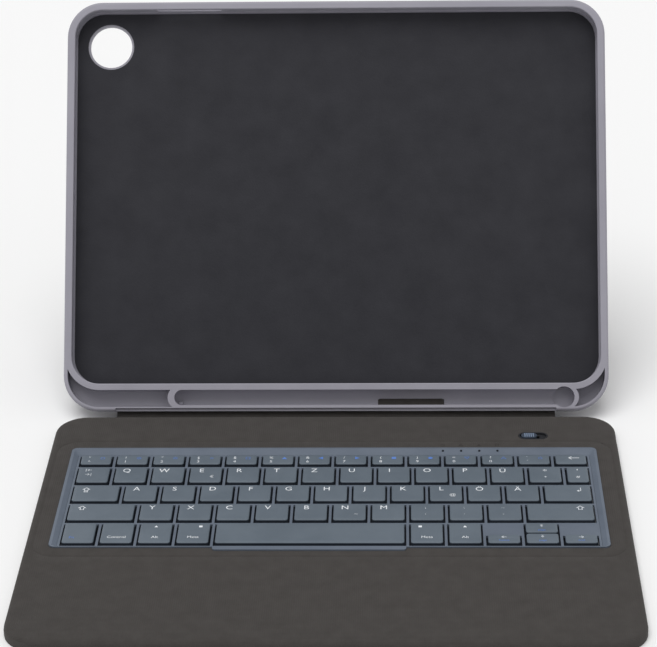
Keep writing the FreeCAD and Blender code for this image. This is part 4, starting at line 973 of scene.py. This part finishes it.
def grow(name, points, tree, sizes):
    """Run a tree on points with its sizes set, and give back the mesh that it makes, as a bmesh."""
    cloud = bpy.data.meshes.new(name)
    cloud.from_pydata(points, [], [])
    seed = bpy.data.objects.new(name, cloud)
    bpy.context.scene.collection.objects.link(seed)
    modifier = seed.modifiers.new("grow", "NODES")
    modifier.node_group = tree
    sockets = {item.name: item.identifier for item in tree.interface.items_tree if item.in_out == "INPUT"}
    for size, number in sizes.items():
        modifier[sockets[size]] = number
    graph = bpy.context.evaluated_depsgraph_get()
    made = bpy.data.meshes.new_from_object(seed.evaluated_get(graph))
    bpy.data.objects.remove(seed)
    shape = bmesh.new()
    shape.from_mesh(made)
    print(name, len(points), "copies")
    return shape


# %% [markdown]
# Under each cap sits a silicone dome on a thin sheet. All that shows of it is the gap round the keys, and its
# colour is painted shade, dark so that the gap reads as shaded. A tree puts one dome, a plain cone with its head
# cut off, on the middle of each key, and the sheet is one flat block.

# %% Rubber domes
DOME_HEIGHT = 1.5 * MM  # as the domes are when every key is down, so no cap meets them
DOME_FOOT = 2.7 * MM
DOME_HEAD = 1.4 * MM
DOME_SIDES = 12
SHEET = 0.3 * MM

sheet_low, sheet_high = box_of("rubber_domes")
tree, given = new_tree("dome_on_each_point", ["Foot", "Head", "Height"])
cone = add_node(tree, "GeometryNodeMeshCone", {}, {"Vertices": DOME_SIDES},
                {"Radius Bottom": given["Foot"], "Radius Top": given["Head"], "Depth": given["Height"]})
repeat(tree, given["Geometry"], cone.outputs["Mesh"], dome_painted_shade)

middles = []
for node in key_nodes:
    for low, high in key_boxes[node]:
        middles.append(((low.x + high.x) / 2, (low.y + high.y) / 2, sheet_low.z + SHEET))
rubber = grow("domes", middles, tree, {"Foot": DOME_FOOT, "Head": DOME_HEAD, "Height": DOME_HEIGHT})
sheet_middle = (*(sheet_low + sheet_high).xy / 2, sheet_low.z + SHEET / 2)
sheet_sides = (*(sheet_high - sheet_low).xy, SHEET, 1)
sheet_place = Matrix.Translation(sheet_middle) @ Matrix.Diagonal(sheet_sides)
bmesh.ops.create_cube(rubber, size=1.0, matrix=sheet_place)
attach(add_piece("dome_sheet", rubber, [dome_painted_shade], ["rubber_domes"]), "deck")

# %% [markdown]
# The power switch's knob has a row of fine ribs for the finger. An Array modifier could repeat them, but a
# second tree works from points and named sizes as the first does, so one way serves both.

# %% Knob ribs
RIB_COUNT = 5
RIB_PITCH = 0.95 * MM
RIB_WIDTH = 0.45 * MM
RIB_RISE = 0.2 * MM
RIB_SHARE = 0.72  # of the knob's width

# To the eye: lighter than the knob, so the ribs show as fine pale lines.
rib_grey = matt_plastic("moulded_abs_rib", "#8494aa", "#7e8ea4", "#8a9ab0", 0.4)
knob_low, knob_high = box_of("power_switch_knob")
tree, given = new_tree("rib_on_each_point", ["Width", "Length", "Rise"])
block = add_node(tree, "ShaderNodeCombineXYZ", {}, {},
                 {"X": given["Width"], "Y": given["Length"], "Z": given["Rise"]})
bar = add_node(tree, "GeometryNodeMeshCube", {}, {}, {"Size": block.outputs["Vector"]})
repeat(tree, given["Geometry"], bar.outputs["Mesh"], rib_grey)

middle = (knob_low + knob_high) / 2
steps = [(i - (RIB_COUNT - 1) / 2) * RIB_PITCH for i in range(RIB_COUNT)]
rib_length = (knob_high.y - knob_low.y) * RIB_SHARE
ribs = grow("ribs", [(middle.x + step, middle.y, knob_high.z) for step in steps], tree,
            {"Width": RIB_WIDTH, "Length": rib_length, "Rise": 2 * RIB_RISE})
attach(add_piece("switch_knob_ribs", ribs, [rib_grey]), "switch")

# %% [markdown]
# Four faint signs are printed on the cloth above the lights: power, link, capitals and charge. They could be
# drawn as curves, but they are flat type as on the keys, in an ink that is hardly darker than the cloth.

# %% Signs above the lights
SIGN = 2.4 * MM
SIGN_RISE = 5.2 * MM

lights = sorted(islands("light_pipes"), key=lambda box: box[0].x)
signs = bmesh.new()
for (low, high), sign in zip(lights, "⏻△A□"):
    print_sign(signs, sign, SIGN, ((low.x + high.x) / 2, high.y + SIGN_RISE, deck_high.z + INK), 0)
# To the eye: hardly darker than the cloth, so the signs are found only when looked for.
dark_ink = matt_plastic("pad_print_dark", "#221e1d", "#1f1b1a", "#262221", 0.7)
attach(add_piece("light_signs", signs, [dark_ink]), "deck")

# %% [markdown]
# The camera stands where the photograph was taken from: a little right of the middle, above the deck and
# looking down at the hinge. Its numbers were solved from the corners of the keyboard, the lights and the
# tray's rim.

# %% Camera
IMAGE_WIDTH = 657
FOCAL_PIXELS = 2357
CAMERA_PLACE = Vector((31.1, -873.0, 526.8)) * MM
YAW, PITCH, ROLL = (math.radians(angle) for angle in (1.98, 26.1, -1.03))
NEAREST = 0.05

camera = bpy.data.objects.new("camera", bpy.data.cameras.new("camera"))
bpy.context.scene.collection.objects.link(camera)
camera.data.lens = camera.data.sensor_width * FOCAL_PIXELS / IMAGE_WIDTH
aim = Matrix.Rotation(YAW, 4, "Z") @ Matrix.Rotation(math.pi / 2 - PITCH, 4, "X")
camera.matrix_world = Matrix.Translation(CAMERA_PLACE) @ aim @ Matrix.Rotation(ROLL, 4, "Z")
camera.data.clip_start = NEAREST
bpy.context.scene.camera = camera
print("lens", round(camera.data.lens, 1), "mm")

# %% [markdown]
# The case stands on plain pale paper. A curved backdrop could hide the horizon, but the camera looks down, so
# a wide flat floor is enough.

# %% Floor
FLOOR_HALF = 4.0

floor_shape = bmesh.new()
bmesh.ops.create_grid(floor_shape, x_segments=1, y_segments=1, size=FLOOR_HALF)
floor_mesh = bpy.data.meshes.new("floor")
floor_shape.to_mesh(floor_mesh)
floor_shape.free()
floor = bpy.data.objects.new("floor", floor_mesh)
bpy.context.scene.collection.objects.link(floor)
# To the eye: nearly white and without any shine, so only the soft shadow shows.
pale_paper = new_finish("pale_paper", "#fafafa", 0.9, {"Specular IOR Level": 0.1})[0]
floor_mesh.materials.append(pale_paper)
print("floor", 2 * FLOOR_HALF, "m wide")

# %% [markdown]
# The world gives half of the light evenly. What the camera, a reflection or clear plastic sees of it is plain
# white, which needs more strength than the light, so the light path chooses between the two.

# %% Even light
EVEN_LIGHT = 0.48
WHITE_LIGHT = 1.0

world = bpy.data.worlds.new("studio")
world.use_nodes = True
bpy.context.scene.world = world
tree = world.node_tree
tree.nodes.clear()
path = add_node(tree, "ShaderNodeLightPath")
mirror = add_node(tree, "ShaderNodeMath", {"operation": "MAXIMUM"}, {},
                  {0: path.outputs["Is Glossy Ray"], 1: path.outputs["Is Transmission Ray"]})
seen = add_node(tree, "ShaderNodeMath", {"operation": "MAXIMUM"}, {},
                {0: path.outputs["Is Camera Ray"], 1: mirror.outputs["Value"]})
glow = add_node(tree, "ShaderNodeBackground", {}, {"Color": (1, 1, 1, 1), "Strength": EVEN_LIGHT})
white = add_node(tree, "ShaderNodeBackground", {}, {"Color": (1, 1, 1, 1), "Strength": WHITE_LIGHT})
either = add_node(tree, "ShaderNodeMixShader", {}, {},
                  {0: seen.outputs["Value"], 1: glow.outputs["Background"], 2: white.outputs["Background"]})
add_node(tree, "ShaderNodeOutputWorld", {}, {}, {"Surface": either.outputs["Shader"]})
print("even light", EVEN_LIGHT)

# %% [markdown]
# A very wide sun gives the other half of the light, with gentle shadows. A sun lights near and far alike, so
# the floor stays pale up to its edge. The two together come to about 1 on a level surface, where a colour
# renders about as it is written.

# %% Sun
SUN_FROM = Vector((-0.2, -0.3, 1.4))
SUN_STRENGTH = 1.65
SUN_WIDTH = 50

lamp = bpy.data.objects.new("overhead_sun", bpy.data.lights.new("overhead_sun", "SUN"))
bpy.context.scene.collection.objects.link(lamp)
lamp.data.energy = SUN_STRENGTH
lamp.data.angle = math.radians(SUN_WIDTH)
lamp.location = SUN_FROM
lamp.rotation_euler = SUN_FROM.to_track_quat("Z", "Y").to_euler()
bpy.context.scene.view_settings.view_transform = "Standard"
level = EVEN_LIGHT + SUN_STRENGTH / math.pi * SUN_FROM.normalized().z
print("light on a level surface", round(level, 2))
